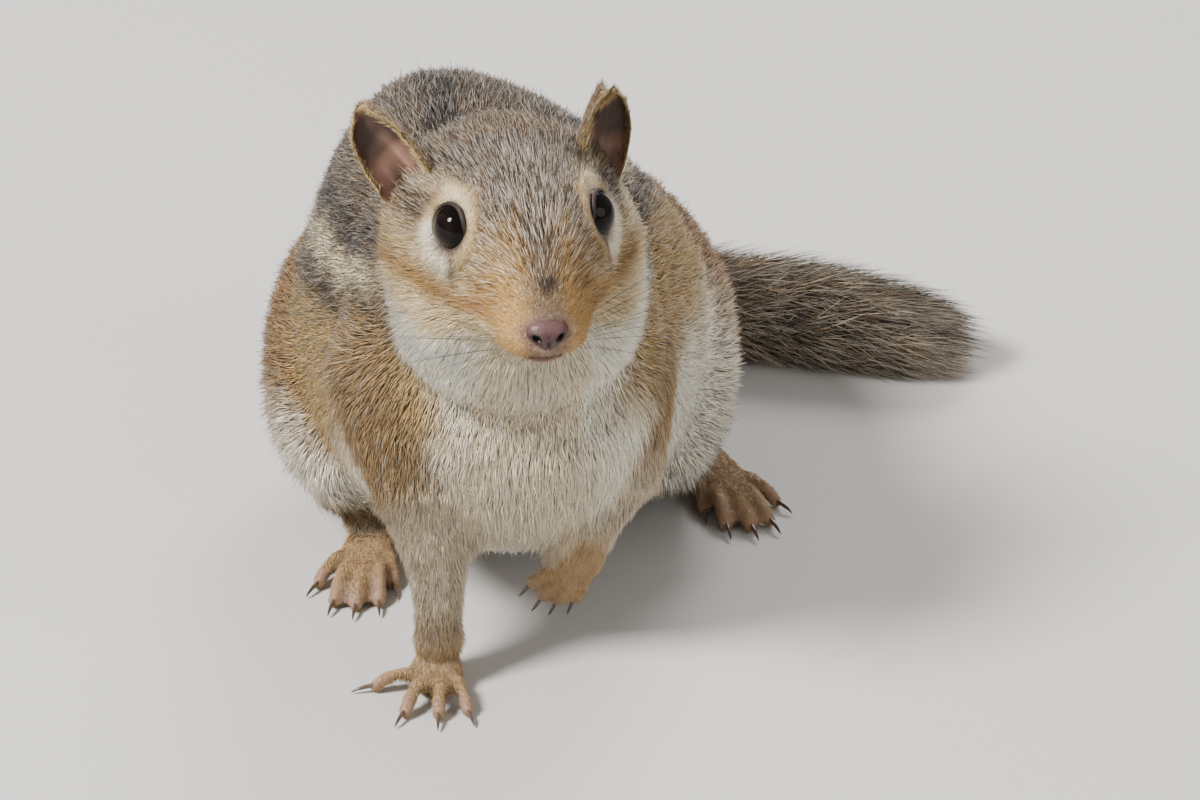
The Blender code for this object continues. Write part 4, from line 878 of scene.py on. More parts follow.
def finish_skin(obj, palette):
    """Adds the lids, lips and ears to the thinned skin, unwraps it and paints it."""
    mesh = obj.data
    points = read_points(mesh) / MM
    work = bmesh.new()
    work.from_mesh(mesh)
    bmesh.ops.triangulate(work, faces=work.faces)
    faces = np.array([[v.index for v in f.verts] for f in work.faces])
    surface = BVHTree.FromPolygons([tuple(p) for p in points], faces.tolist())
    work.free()
    count = len(points)
    plan = {name: read(mesh, name, 1, "value") for name in PLAN_NAMES}
    outer = read(mesh, "Outer", 3, "vector")
    lid_points, lid_faces, lid_outs = lid_rings()
    ears = {side: ear_shell(side) for side in (1, -1)}
    pieces = [(points, faces), (lid_points, lid_faces), ears[1][:2], ears[-1][:2]] + lips(surface)
    starts = np.cumsum([0] + [len(p) for p, _ in pieces])
    spans = [slice(a, b) for a, b in zip(starts, starts[1:])]
    points = np.vstack([p for p, _ in pieces])
    faces = np.vstack([f + start for (_, f), start in zip(pieces, starts)])
    outer = np.vstack([outer, points[count:]])
    more = np.zeros(len(points) - count)
    plan = {name: np.concatenate([values, more + (name in ("Head", "Face"))])
            for name, values in plan.items()}

    main, grizzle = markings(outer, plan, palette)
    lie = lie_at(outer)
    eye = EyePlaces(outer)
    place = to_head(outer)
    pad = np.linalg.norm((place - NOSE_AT - PAD_SHIFT) / PAD_SIZE, axis=1)
    around = step(7.2, 4.2, eye.round)[:, None] * 0.92
    lie = unit(lie * (1 - around) + eye.radial * around)

    toned = main * 0.50 + palette.under * 0.15
    bright = main * 0.80
    skin_colour = mix(toned, bright, np.maximum(plan["Head"], plan["Feet"]) * 0.9)
    toe = step(6.5, 3.2, to_claws(outer)) * plan["Feet"]
    skin_colour = mix(skin_colour, palette.toes, np.maximum(plan["Feet"] * 0.45, toe * 0.9))
    # Painted shade: the skin, most of all on the feet, and the feet's hair are darkened in the skin's
    # creases.
    crease_shade = hollows(obj)
    skin_colour[:count] *= (1 - 0.75 * np.maximum(plan["Feet"], 0.3)[:count] * crease_shade)[:, None]
    main[:count] *= (1 - 0.65 * plan["Feet"][:count] * crease_shade)[:, None]
    to_mouth = near_line(place[:, [0, 2]], MOUTH_LINE) + 4 * step(-10.5, -8.5, place[:, 1])
    at_mouth = step(0.75, 0.3, to_mouth) * plan["Head"]
    # Painted shade: the skin along the mouth's groove is painted nearly black.
    skin_colour = mix(skin_colour, palette.nose * 0.25, at_mouth)
    skin_colour = mix(skin_colour, palette.lid * 1.3 + 0.008, step(1.45, 1.22, eye.open))
    close = plan["Close"] * (plan["Tail"] < 0.5) * step(0.45, 0.85, to_mouth)
    close = np.where((eye.open < 1.20) | (pad < 0.98), 0, close)
    length = plan["Length"] * (0.42 + 0.58 * step(0.6, 4.0, to_mouth))
    length = np.maximum(length, 0.80 * plan["Head"]) * (1 - 0.48 * toe)
    close = close * (1 - 0.45 * toe) * (1 + 4 * plan["Feet"] * (1 - plan["Feet"]))
    ruff = 0.30 * step(2, 17, place[:, 1]) + 0.15 * step(-8, -16, place[:, 2])
    length = length * (1 + plan["Head"] * ruff)
    under_lids = EyePlaces(points[:count])
    kept = step(1.05, 1.75, under_lids.open)
    sunk = np.minimum(under_lids.reach, EYE_RADIUS - 0.20)
    share = np.where(under_lids.reach < 7, (1 - kept) * (1 - sunk / under_lids.reach), 0)
    centres = np.array([from_head(eye_frame(side)[0][None])[0] for side in (1, -1)])
    nearer = np.where(to_head(points[:count])[:, 0] > 0, 0, 1)
    points[:count] += (centres[nearer] - points[:count]) * share[:, None]
    groove = np.zeros_like(points)
    groove[:count] = (at_mouth[:count, None] * (HEAD_TURN @ (0, 1.0, 0))[None]) * 0.8
    points = points + groove

    lid_shade = mix(np.tile(palette.lid * 0.6, (len(lid_outs), 1)), palette.lid * 1.7 + 0.008,
                    step(0.35, 0.9, lid_outs))
    skin_colour[spans[1]] = lid_shade
    close[starts[1]:] = 0
    for number, side in ((2, 1), (3, -1)):
        span = spans[number]
        inside, at = ears[side][2:]
        s, u = at.T
        edge = np.maximum(np.abs(u), s ** 2)
        back_colour = np.tile(palette.crown * 0.6 + palette.under * 0.3, (len(s), 1))
        fold_highlight = np.exp(-((u + 0.22 - 0.35 * s) / 0.16) ** 2) * step(0.75, 0.3, s)
        # Painted shade and highlight: the ear's inside is painted darker in its deep cup near the root and
        # under the upper rim, and lighter on its folds.
        bare = mix(np.tile(palette.ear * 0.72, (len(s), 1)), palette.ear * 0.14,
                   step(0.42, 0.05, s) * step(0.85, 0.35, np.abs(u)) * (1 - fold_highlight * 0.6))
        bare = mix(bare, palette.ear * 0.22, step(0.36, 0.60, s) * step(0.96, 0.75, edge))
        bare = mix(bare, palette.ear * 1.35, fold_highlight * 0.75)
        bare = mix(bare, palette.flank * 0.8, step(0.80, 0.97, edge) * 0.7)
        skin_colour[span] = mix(back_colour, bare, inside)
        torn = step(0.30, 0.16, np.abs(u - NOTCH_AT)) * step(0.72, 0.95, s) * (side == 1)
        rim_hair = mix(np.tile(palette.flank * 0.85, (len(s), 1)), palette.pale,
                       np.maximum(step(0.7, 1.0, s) * 0.25, torn))
        main[span] = mix(np.tile(palette.crown * 0.85, (len(s), 1)), rim_hair, inside)
        main[span] = mix(main[span], palette.white, torn * 0.8)
        grizzle[span] = 0.20
        length[span] = np.where(inside > 0.5, 1.5 - 0.5 * s + 0.7 * (u < -0.4), 1.2)
        nearer_rim = np.maximum(step(0.72, 0.92, np.abs(u)), step(0.42, 0.66, -u) * 0.9)
        thick_rim = np.where(inside > 0.5, 1.3 * nearer_rim, 1.1)
        close[span] = thick_rim * (s > 0.20)
        root, tip, look = (np.array(v, float) for v in EARS[side])
        inwards = np.cross(tip - root, look) * side
        drawn = np.sign(u) * inside * step(0.3, 0.9, np.abs(u)) * 3.0
        way = (tip - root)[None] * 0.9 - unit(inwards)[None] * drawn[:, None]
        lie[span] = unit(way @ HEAD_TURN.T)
    skin_colour[spans[4]] = palette.nose * 0.8 + palette.muzzle * 0.12
    skin_colour[spans[5]] = palette.nose * 3.2 + 0.02

    skin = mesh_from_arrays("skin", points * MM + np.array(PLAN), faces)
    obj.data = skin
    bpy.data.meshes.remove(mesh)
    set_colour(skin, "Coat", skin_colour)
    set_colour(skin, "Main", main)
    for name, column in (("Length", length), ("Close", close), ("Grizzle", grizzle),
                         ("Head", plan["Head"]), ("Feet", plan["Feet"])):
        set_value(skin, name, column)
    set_vector(skin, "Lie", lie)
    skin.materials.append(coat_material("skin", 0.58, 0.0, 0.12, 0.35))
    unwrap(obj)
    return obj


def unwrap(obj):
    """Unwraps the skin's own shape into the map that the coat's tufts share."""
    obj.data.uv_layers.new(name="OFBake")
    bpy.ops.object.select_all(action="DESELECT")
    obj.select_set(True)
    bpy.context.view_layer.objects.active = obj
    bpy.ops.object.mode_set(mode="EDIT")
    bpy.ops.mesh.select_all(action="SELECT")
    bpy.ops.uv.smart_project(angle_limit=math.radians(66), island_margin=0.002)
    bpy.ops.object.mode_set(mode="OBJECT")


# The coat

PATCH = 0.003  # width of a tuft's patch in the map


def patch_corners(rings, pointed):
    """Where a tuft's points lie in its patch: rings of three, each smaller, and the tip in the middle."""
    corners = [(-PATCH / 2, 0.0)] if pointed else []
    for level in range(rings):
        reach = PATCH / 2 * (1 - (level + pointed) / (rings + pointed))
        for k in range(3):
            angle = 2 * math.pi * k / 3
            corners.append((reach * math.cos(angle), reach * math.sin(angle)))
    corners.append((0.0, 0.0))
    return np.array(corners)


def strand_mesh(name, lines, widths, ups, colours, roots_uv):
    """Closed three-sided strands along lines of points, in mm of the plan, tapered to a tip.

    A strand of two points starts with a flat end, a longer one with a point.
    """
    count, levels = lines.shape[:2]
    pointed = int(levels > 2)
    rings = levels - 1 - pointed
    inner = slice(pointed, levels - 1)
    if pointed:
        ahead = unit(lines[:, 2:] - lines[:, :-2])
    else:
        ahead = unit(lines[:, 1:] - lines[:, :1])
    side = unit(np.cross(ahead, ups[:, None]))
    up = np.cross(side, ahead)
    middle = lines[:, inner]
    half = widths[:, inner, None] / 2
    ring = np.stack([middle + side * half, middle + up * half * 0.9, middle - side * half], 2)
    parts = [lines[:, :1]] if pointed else []
    verts = np.concatenate(parts + [ring.reshape(count, rings * 3, 3), lines[:, -1:]], 1)
    per = verts.shape[1]
    if pointed:
        template = [(0, 1 + (k + 1) % 3, 1 + k) for k in range(3)]
    else:
        template = [(0, 2, 1)]
    for level in range(rings - 1):
        for k in range(3):
            a, b = pointed + level * 3 + k, pointed + level * 3 + (k + 1) % 3
            template += [(a, b, b + 3), (a, b + 3, a + 3)]
    last = pointed + (rings - 1) * 3
    template += [(last + k, last + (k + 1) % 3, per - 1) for k in range(3)]
    template = np.array(template)[:, ::-1]
    faces = (template[None] + (np.arange(count) * per)[:, None, None]).reshape(-1, 3)
    mesh = mesh_from_arrays(name, verts.reshape(-1, 3) * MM + np.array(PLAN), faces)
    parts = [colours[:, :1]] if pointed else []
    shades = np.concatenate(parts + [np.repeat(colours[:, inner], 3, axis=1), colours[:, -1:]], 1)
    set_colour(mesh, "Coat", shades.reshape(-1, 3))
    layer = mesh.uv_layers.new(name="OFBake")
    spots = (roots_uv[:, None] + patch_corners(rings, pointed)[None]).reshape(-1, 2)
    layer.data.foreach_set("uv", spots[faces.ravel()].astype(np.float32).ravel())
    return mesh


def sample_roots(obj, total, short, draw):
    """Roots spread over the skin as closely as it says, with what the skin says at each.

    Short hair stands where the skin asks for up to SHORT_HAIR, long hair elsewhere.
    """
    mesh = obj.data
    points = read_points(mesh) / MM - PLAN_AT
    normals = read_points(mesh, "normal")
    faces = np.empty(len(mesh.loops), np.int32)
    mesh.loops.foreach_get("vertex_index", faces)
    faces = faces.reshape(-1, 3)
    uv = np.empty(len(mesh.loops) * 2, np.float32)
    mesh.uv_layers["OFBake"].data.foreach_get("uv", uv)
    uv = uv.reshape(-1, 3, 2)
    corners = points[faces]
    area = np.linalg.norm(np.cross(corners[:, 1] - corners[:, 0], corners[:, 2] - corners[:, 0]),
                          axis=1) / 2
    close = read(mesh, "Close", 1, "value")[faces].mean(1)
    length = read(mesh, "Length", 1, "value")[faces].mean(1)
    if short:
        close = close * (length < SHORT_HAIR) / np.clip(length, 0.8, 3.7) ** 0.8
    else:
        close = close * (length >= SHORT_HAIR)
    running = np.cumsum(area * close)
    picks = (np.arange(total) + draw.random(total)) / total * running[-1]
    face = np.minimum(np.searchsorted(running, picks), len(faces) - 1)
    a, b = draw.random((2, total))
    flip = a + b > 1
    a, b = np.where(flip, 1 - a, a), np.where(flip, 1 - b, b)
    bary = np.stack([1 - a - b, a, b], 1)

    def blend(values):
        return np.einsum("ij,ij...->i...", bary, values[faces[face]])
    roots = {
        "point": blend(points), "normal": unit(blend(normals)),
        "uv": np.einsum("ij,ijk->ik", bary, uv[face]),
        "lie": blend(read(mesh, "Lie", 3, "vector")),
        "main": blend(read(mesh, "Main", 4, "color")[:, :3]),
    }
    for name in ("Length", "Grizzle", "Head", "Feet"):
        roots[name] = blend(read(mesh, name, 1, "value"))
    return roots


def map_spots(skin, points):
    """Where points of the plan lie in the skin's map, each at the nearest place of the skin."""
    mesh = skin.data
    corners = read_points(mesh) / MM - PLAN_AT
    faces = np.empty(len(mesh.loops), np.int32)
    mesh.loops.foreach_get("vertex_index", faces)
    faces = faces.reshape(-1, 3)
    uv = np.empty(len(mesh.loops) * 2, np.float32)
    mesh.uv_layers["OFBake"].data.foreach_get("uv", uv)
    uv = uv.reshape(-1, 3, 2)
    tree = BVHTree.FromPolygons(corners.tolist(), faces.tolist())
    found = [tree.find_nearest(Vector(point)) for point in points]
    face = np.array([hit[2] for hit in found])
    place = np.array([hit[0] for hit in found])
    a, b, c = (corners[faces[face, k]] for k in range(3))
    whole = np.linalg.norm(np.cross(b - a, c - a), axis=1)
    shares = np.stack([np.linalg.norm(np.cross(b - place, c - place), axis=1),
                       np.linalg.norm(np.cross(c - place, a - place), axis=1),
                       np.linalg.norm(np.cross(a - place, b - place), axis=1)], 1)
    shares = shares / np.maximum(whole, 1e-9)[:, None]
    return np.einsum("ij,ijk->ik", shares / shares.sum(1, keepdims=True), uv[face])


def hair_colours(main, grizzle, palette, draw, short):
    """Colours from root to tip: slate undercoat, the main colour, and pale or dark tips."""
    count = len(main)
    tone = np.exp(draw.normal(0, 0.15, count))[:, None]
    warm = draw.normal(0, 0.05, count)[:, None] * np.array((1.0, 0.2, -0.8))
    body = np.clip(main * tone * (1 + warm), 0, 1)
    light = step(0.25, 0.6, main.max(1))[:, None]
    lot = draw.random(count)
    pale = (lot < grizzle * 0.36)[:, None]
    dark = ((lot >= grizzle * 0.36) & (lot < grizzle * 0.80))[:, None]
    ticked = np.minimum(body * 0.20 + palette.ticking * 0.90 * tone, 1)
    tip = np.where(pale, ticked, np.where(dark, palette.under * 0.35 + body * 0.08, body * 1.12))
    near = np.where(dark, body * 0.55, body)
    root = palette.under * (0.5 - 0.42 * light) + body * (0.36 + 0.46 * light)
    if short:
        return np.stack([root * (0.3 + 0.15 * light) + near * 0.55, tip], 1)
    return np.stack([root, near, tip], 1)


def lay_tufts(roots, short, thick, draw):
    """Lines, widths and thicknesses of the tufts from what the skin says at their roots."""
    point, normal = roots["point"], roots["normal"]
    total = len(point)
    head, feet = np.clip(roots["Head"], 0, 1), np.clip(roots["Feet"], 0, 1)
    lie = roots["lie"] + draw.normal(0, 0.13 if short else 0.15, (total, 3))
    lie = unit(lie - normal * (lie * normal).sum(1)[:, None])
    clump = waves(point, 4.0, 21) * 0.20 + waves(point, 1.7, 22) * 0.10
    lie = unit(lie + np.cross(normal, lie) * clump[:, None])
    length = roots["Length"] * np.clip(1 + draw.normal(0, 0.15, total) + clump * 0.4, 0.5, 1.5)
    guard = draw.random(total) < 0.06 * (1 - head) * (1 - feet)
    length = np.where(guard, length * 1.10, length)
    start = point - normal * 0.12
    if short:
        wrist = 4 * feet * (1 - feet)
        rise = np.radians(20 + 3 * (1 - feet) * (1 - head) - 5 * feet + 16 * wrist
                          + draw.normal(0, 5, total))
        tip = start + (lie * np.cos(rise)[:, None] + normal * np.sin(rise)[:, None]) * length[:, None]
        lines = np.stack([start, tip], 1)
    else:
        rise = np.radians(20 + draw.normal(0, 3.5, total) + guard * 5)
        fall = np.radians(6 + draw.normal(0, 3.5, total) + guard * 6)
        bend = start + (lie * np.cos(rise)[:, None]
                        + normal * np.sin(rise)[:, None]) * (length * 0.44)[:, None]
        tip = bend + (lie * np.cos(fall)[:, None]
                      + normal * np.sin(fall)[:, None]) * (length * 0.56)[:, None]
        lines = np.stack([start, bend, tip], 1)
    lines[:, 1:, 2] = np.maximum(lines[:, 1:, 2], 0.12)
    base = 0.084 + 0.024 * length if short else 0.075 + 0.014 * length
    width = base * np.clip(1 + draw.normal(0, 0.16, total), 0.6, 1.4) * thick * (1 - 0.10 * head)
    width = np.where(guard, width * 0.75, width)
    widths = np.repeat(width[:, None], lines.shape[1], 1)
    return gather(lines, length, draw), widths


def gather(lines, length, draw):
    """Draws neighbouring tips a little together, as hair does that lies in locks."""
    total = len(lines)
    leaders = draw.choice(total, max(total // 14, 1), replace=False)
    tree = KDTree(len(leaders))
    for i, leader in enumerate(leaders):
        tree.insert(lines[leader, 0], i)
    tree.balance()
    chosen = leaders[np.array([tree.find(spot)[1] for spot in lines[:, 0]])]
    gap = lines[chosen, -1] - lines[chosen, 0] + lines[chosen, 0] - lines[:, -1]
    far = np.linalg.norm(lines[chosen, 0] - lines[:, 0], axis=1)
    pull = 0.30 * (1 - step(0.25, 0.6, far / np.maximum(length, 0.5))) * draw.uniform(0.5, 1, total)
    lines[:, -1] += gap * pull[:, None]
    if lines.shape[1] > 2:
        lines[:, 1] += (lines[chosen, 1] - lines[:, 1]) * (pull * 0.35)[:, None]
    return lines


def build_coat(skin, sizes, palette):
    draw = np.random.default_rng(SEED)
    material = coat_material("coat", 0.52, 0.0, 0.10, 0)
    few, thick = ((1, 1.0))
    for short, total in ((False, sizes.long_tufts // few), (True, sizes.short_tufts // few)):
        roots = sample_roots(skin, total, short, draw)
        lines, widths = lay_tufts(roots, short, thick, draw)
        colours = hair_colours(roots["main"], roots["Grizzle"], palette, draw, short)
        regions = region_of(roots["Head"], roots["Feet"], short)
        limit = 48000 if short else 32500
        for name in sorted(set(regions)):
            chosen = np.nonzero(regions == name)[0]
            chosen = chosen[np.argsort(roots["point"][chosen, 1], kind="stable")]
            parts = math.ceil(len(chosen) / limit)
            for number, some in enumerate(np.array_split(chosen, parts), 1):
                title = f"coat_{name}_{number}"
                mesh = strand_mesh(title, lines[some], widths[some], roots["normal"][some],
                                   colours[some], roots["uv"][some])
                obj = add_object(title, mesh, material)
                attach(obj, BODY)


def region_of(head, feet, short):
    names = np.where(head > 0.5, "head" if short else "nape", "legs" if short else "trunk")
    return np.where(feet > 0.5, "paws", names)


def build_tail_hair(skin, sizes, palette):
    """Long hair along the tail: ochre at the root, then black, with frosted tips."""
    draw = np.random.default_rng(SEED + 1)
    total = sizes.tail_tufts // 1
    thick = 1.0
    start = draw.beta(1.05, 0.90, total) * 0.945 + 0.055
    angle = draw.uniform(-math.pi, math.pi, total)
    whole = tail_frames(np.array([0.5]))[5]
    length = sizes.tail_hair / MM * np.clip(0.52 + 0.58 * step(0.02, 0.35, start), 0, 1)
    length = length * np.clip(1 + draw.normal(0, 0.22, total), 0.45, 1.35)
    length = np.minimum(length, (1 - start) * whole + TAIL_END * draw.uniform(0.55, 1.05, total))
    spread = np.clip(draw.normal(0.86, 0.24, total), 0.2, 1.08)
    spread = np.where(start > 0.92, np.sqrt(draw.random(total)), spread)
    onwards = draw.uniform(0.70, 0.92, total)  # how far along the tail a hair reaches for its length
    twist = draw.normal(0, 0.42, total)
    locks = np.sin(angle * 7 + start * 31) * 0.14 + np.sin(angle * 3 - start * 47) * 0.14
    swell = 0.94 + 0.09 * np.sin(angle * 5 + start * 40) + 0.07 * np.sin(angle * 9 - start * 23)
    shares = np.array((0.0, 0.38, 1.0))
    rises = np.array((0.0, 0.64, 1.0))
    lines = []
    for share, rise in zip(shares, rises):
        along = start + share * length * onwards / whole
        at, way, up, side, reach, _ = tail_frames(along)
        turn = angle + (twist + locks) * share
        out = up * np.cos(turn)[:, None] + side * np.sin(turn)[:, None]
        low = TAIL_SKIN - 0.4
        past = np.clip((along - 1) * whole / TAIL_END, 0, 1)
        limit = np.maximum(reach * swell * spread, (low + 0.8) * step(1.05, 0.97, along))
        limit = limit * np.sqrt(1 - 0.9 * past ** 2)
        far = low + (limit - low) * rise
        lines.append(at + out * far[:, None])
    lines = np.stack(lines, 1)
    lines[:, 1:, 2] = np.maximum(lines[:, 1:, 2], 0.25 + draw.random(total)[:, None] * 0.6)
    ups = unit(lines[:, 1] - tail_frames(start)[0])
    width = 0.20 * np.clip(1 + draw.normal(0, 0.2, total), 0.6, 1.5) * thick
    widths = np.repeat(width[:, None], 3, 1)
    tone = np.exp(draw.normal(0, 0.22, total))[:, None]
    patches = waves(lines[:, -1], 9, 31)[:, None] * 0.25
    ochre = (palette.limb * 0.6 + palette.rump * 0.4) * tone
    black = palette.dark * 1.1 * tone
    lot = draw.random(total)[:, None] + patches
    later_half = step(0.3, 0.8, start)[:, None]
    tip = np.where(lot < 0.28 + 0.32 * later_half, palette.frost * 1.1 * tone,
                   np.where(lot < 0.78 - 0.18 * later_half, ochre, black))
    near = np.where(draw.random(total)[:, None] + patches < 0.45 - 0.15 * later_half, ochre * 0.8,
                    black)
    colours = np.stack([ochre * 0.6, near, tip], 1)
    material = coat_material("tail_hair", 0.5, 0.0, 0.08, 0)
    spots = map_spots(skin, lines[:, 0])
    order = np.argsort(start, kind="stable")
    for number, some in enumerate(np.array_split(order, math.ceil(total / 32000)), 1):
        title = f"tail_hair_{number}"
        mesh = strand_mesh(title, lines[some], widths[some], ups[some],
                           np.clip(colours[some], 0, 1), spots[some])
        obj = add_object(title, mesh, material)
        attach(obj, BODY)


WHISKER_ROOTS = [  # x, y and z in the head's frame, then the way it grows and its length
    (4.6, -13.2, -5.2, 0.95, 0.25, 0.10, 19), (5.3, -12.2, -4.6, 1.0, 0.45, 0.22, 22),
    (6.0, -11.0, -4.2, 1.0, 0.65, 0.30, 21), (4.6, -13.2, -6.4, 0.95, 0.25, -0.12, 18),
    (5.4, -12.2, -6.0, 1.0, 0.45, -0.02, 23), (6.2, -10.9, -5.8, 1.0, 0.65, 0.05, 24),
    (4.4, -13.0, -7.4, 0.9, 0.3, -0.38, 15), (5.4, -11.9, -7.3, 1.0, 0.5, -0.30, 20),
    (6.3, -10.5, -7.1, 1.0, 0.7, -0.22, 22), (5.6, -11.2, -8.4, 0.9, 0.55, -0.55, 15),
    (6.9, 0.2, 9.0, 0.35, 0.7, 1.0, 9), (7.9, 1.6, 9.2, 0.5, 0.8, 1.0, 8),
]


def build_whiskers(skin, palette):
    """Whiskers in rows on both sides of the muzzle and a pair over each eye."""
    draw = np.random.default_rng(SEED + 2)
    lines, widths, ups = [], [], []
    for side in (1, -1):
        for row in WHISKER_ROOTS:
            at = np.array(row[:3]) * (side, 1, 1)
            way = unit(np.array(row[3:6]) * (side, 1, 1) + draw.normal(0, 0.05, 3))
            length = row[6] * draw.uniform(0.88, 1.1)
            droop = np.array((0.0, 0.35, -0.55))
            line = [at - way * 0.8]
            for share in (0.25, 0.5, 0.75, 1.0):
                line.append(at + way * length * share + droop * length * 0.22 * share ** 2)
            lines.append(from_head(np.array(line)))
            widths.append(np.array((0.12, 0.11, 0.09, 0.06, 0.0)))
            ups.append((0.1, 0.2, 1.0))
    lines, widths = np.array(lines), np.array(widths)
    colours = np.tile(palette.under * 0.4, (len(lines), 5, 1))
    colours[:, 3:] = palette.under * 0.6 + 0.12
    mesh = strand_mesh("whiskers", lines, widths, np.array(ups), colours,
                       map_spots(skin, lines[:, 0]))
    obj = add_object("whiskers", mesh, coat_material("whisker", 0.35, 0.0, 0.02, 0))
    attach(obj, BODY)


def ball(name, segments, rings):
    """A unit ball as arrays of points and triangles."""
    work = bmesh.new()
    bmesh.ops.create_uvsphere(work, u_segments=segments, v_segments=rings, radius=1)
    bmesh.ops.triangulate(work, faces=work.faces)
    work.verts.index_update()
    points = np.array([v.co for v in work.verts])
    faces = np.array([[v.index for v in f.verts] for f in work.faces])
    work.free()
    return points, faces


def build_eyes(palette):
    """Wet, nearly black eyeballs with a faintly brown iris."""
    material, nodes, links, shader = new_material("eye")
    shader.inputs["Roughness"].default_value = 0.04
    shader.inputs["IOR"].default_value = 1.22
    paint = nodes.new("ShaderNodeAttribute")
    paint.attribute_name = "Coat"
    links.new(paint.outputs["Color"], shader.inputs["Base Color"])
    for side, node in ((1, "eye_left"), (-1, "eye_right")):
        points, faces = ball(node, 64, 40)
        axis = eye_frame(side)[1] @ HEAD_TURN.T
        facing = points @ axis
        shape = points * (EYE_RADIUS * (0.985 + 0.03 * step(0.6, 1.0, facing)))[:, None]
        middle = from_head(eye_frame(side)[0][None])[0]
        mesh = mesh_from_arrays(node + "_ball", (shape + middle) * MM + np.array(PLAN), faces)
        iris = band(0.80, 0.93, 0.03, facing)
        shades = mix(np.tile(palette.eye, (len(points), 1)), (0.009, 0.005, 0.004), iris)
        set_colour(mesh, "Coat", shades)
        obj = add_object(node + "_ball", mesh, material)
        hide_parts(node)
        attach(obj, BODY)


def build_nose(palette):
    """The bare nose pad with its nostrils and the cleft down to the lip."""
    points, faces = ball("nose", 96, 64)
    x, y, z = points.T
    shape = points * PAD_SIZE
    shape[:, 0] *= 1 + 0.16 * z
    cleft = np.exp(-(x / 0.10) ** 2) * step(0.35, -0.4, z) * step(0.0, -0.6, y)
    shape[:, 1] += cleft * 0.42
    for side in (-1, 1):
        away = np.hypot((x - side * 0.56 - side * 0.20 * (z + 0.15)) / 0.20, (z + 0.15) / 0.34)
        hole = np.exp(-away ** 2 * 1.3) * (y < 0)
        shape[:, 1] += hole * 1.15
        wing = np.exp(-((np.hypot(x - side * 0.60, z + 0.1) - 0.42) / 0.12) ** 2) * (y < 0)
        shape[:, 1] -= wing * 0.16
    shape[:, 1] -= 0.035 * waves(shape, 0.55, 5) * (y < 0.2)
    below = np.exp(-(x / 0.30) ** 2) * step(-0.55, -1.0, z)
    shape[:, 2] -= below * 1.6
    shape = shape + NOSE_AT + PAD_SHIFT
    mesh = mesh_from_arrays("nose_pad", from_head(shape) * MM + np.array(PLAN), faces)
    # Painted shade: the nostrils are painted nearly black and the cleft darker.
    dark = np.zeros(len(points))
    for side in (-1, 1):
        away = np.hypot((x - side * 0.56 - side * 0.20 * (z + 0.15)) / 0.22, (z + 0.15) / 0.36)
        dark = np.maximum(dark, np.exp(-away ** 2) * (y < 0))
    shades = np.tile(palette.nose, (len(points), 1)) * (1 + 0.10 * waves(shape, 0.8, 6))[:, None]
    shades = mix(shades, palette.nose * 0.08, np.clip(dark * 1.25, 0, 1))
    shades = mix(shades, palette.nose * 0.35, cleft * 0.6)
    # Painted highlight: the top of the pad is painted lighter.
    shades = mix(shades, palette.nose * 2.0 + 0.02, step(0.0, 0.8, z) * 0.8)
    set_colour(mesh, "Coat", shades)
    material = coat_material("nose", 0.42, 0.0, 0.10, 0.5)
    obj = add_object("nose_pad", mesh, material)
    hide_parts("nose")
    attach(obj, BODY)


CLAW_ROOT = 0.9  # mm, how much further a claw reaches into its toe than its node does


def build_claws(palette):
    """Each claw again, rounded, in dark horn that is paler at the root."""
    material, nodes, links, shader = new_material("claw")
    shader.inputs["Roughness"].default_value = 0.32
    shader.inputs["Coat Weight"].default_value = 0.3
    paint = nodes.new("ShaderNodeAttribute")
    paint.attribute_name = "Coat"
    links.new(paint.outputs["Color"], shader.inputs["Base Color"])
    for node in sorted(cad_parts):
        if not node.startswith("claw"):
            continue
        points, normals, faces = welded(node)
        name = node + "_horn"
        obj = add_object(name, mesh_from_arrays(name, points * MM + np.array(PLAN), faces),
                         material)
        rounds = obj.modifiers.new("round", "SUBSURF")
        rounds.levels = rounds.render_levels = 2
        bake(obj)
        made = read_points(obj.data) / MM - PLAN_AT
        paw = box_middle("forepaw_" + node.split("_")[2] if "fore" in node
                         else "hind_foot_" + node.split("_")[2])
        away = np.linalg.norm(points - (np.array(paw) / MM - PLAN_AT), axis=1)
        along = unit(points[away.argmax()] - points[away.argmin()])
        reach, share = points @ along, made @ along
        share = (share - share.min()) / np.ptp(share)
        grown = reach.min() - CLAW_ROOT + share * (np.ptp(reach) + CLAW_ROOT)
        made += along * (grown - made @ along)[:, None]
        obj.data.vertices.foreach_set(
            "co", (made * MM + np.array(PLAN)).astype(np.float32).ravel())
        obj.data.update()
        set_colour(obj.data, "Coat", mix(np.tile(palette.claw * 2.2 + 0.03, (len(made), 1)),
                                         palette.claw * 0.5, share))
        obj.data.materials.clear()
        obj.data.materials.append(material)
        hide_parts(node)
        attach(obj, BODY)


# The stage: floor, lights and camera

CAMERA_TILT = math.radians(27)  # how far the view looks down
CAMERA_AWAY = 1.33
CAMERA_AIM = Vector((0.0133, 0, 0.049))  # in the plan
CAMERA_LENS = 300
FLOOR_HALF = 3.0


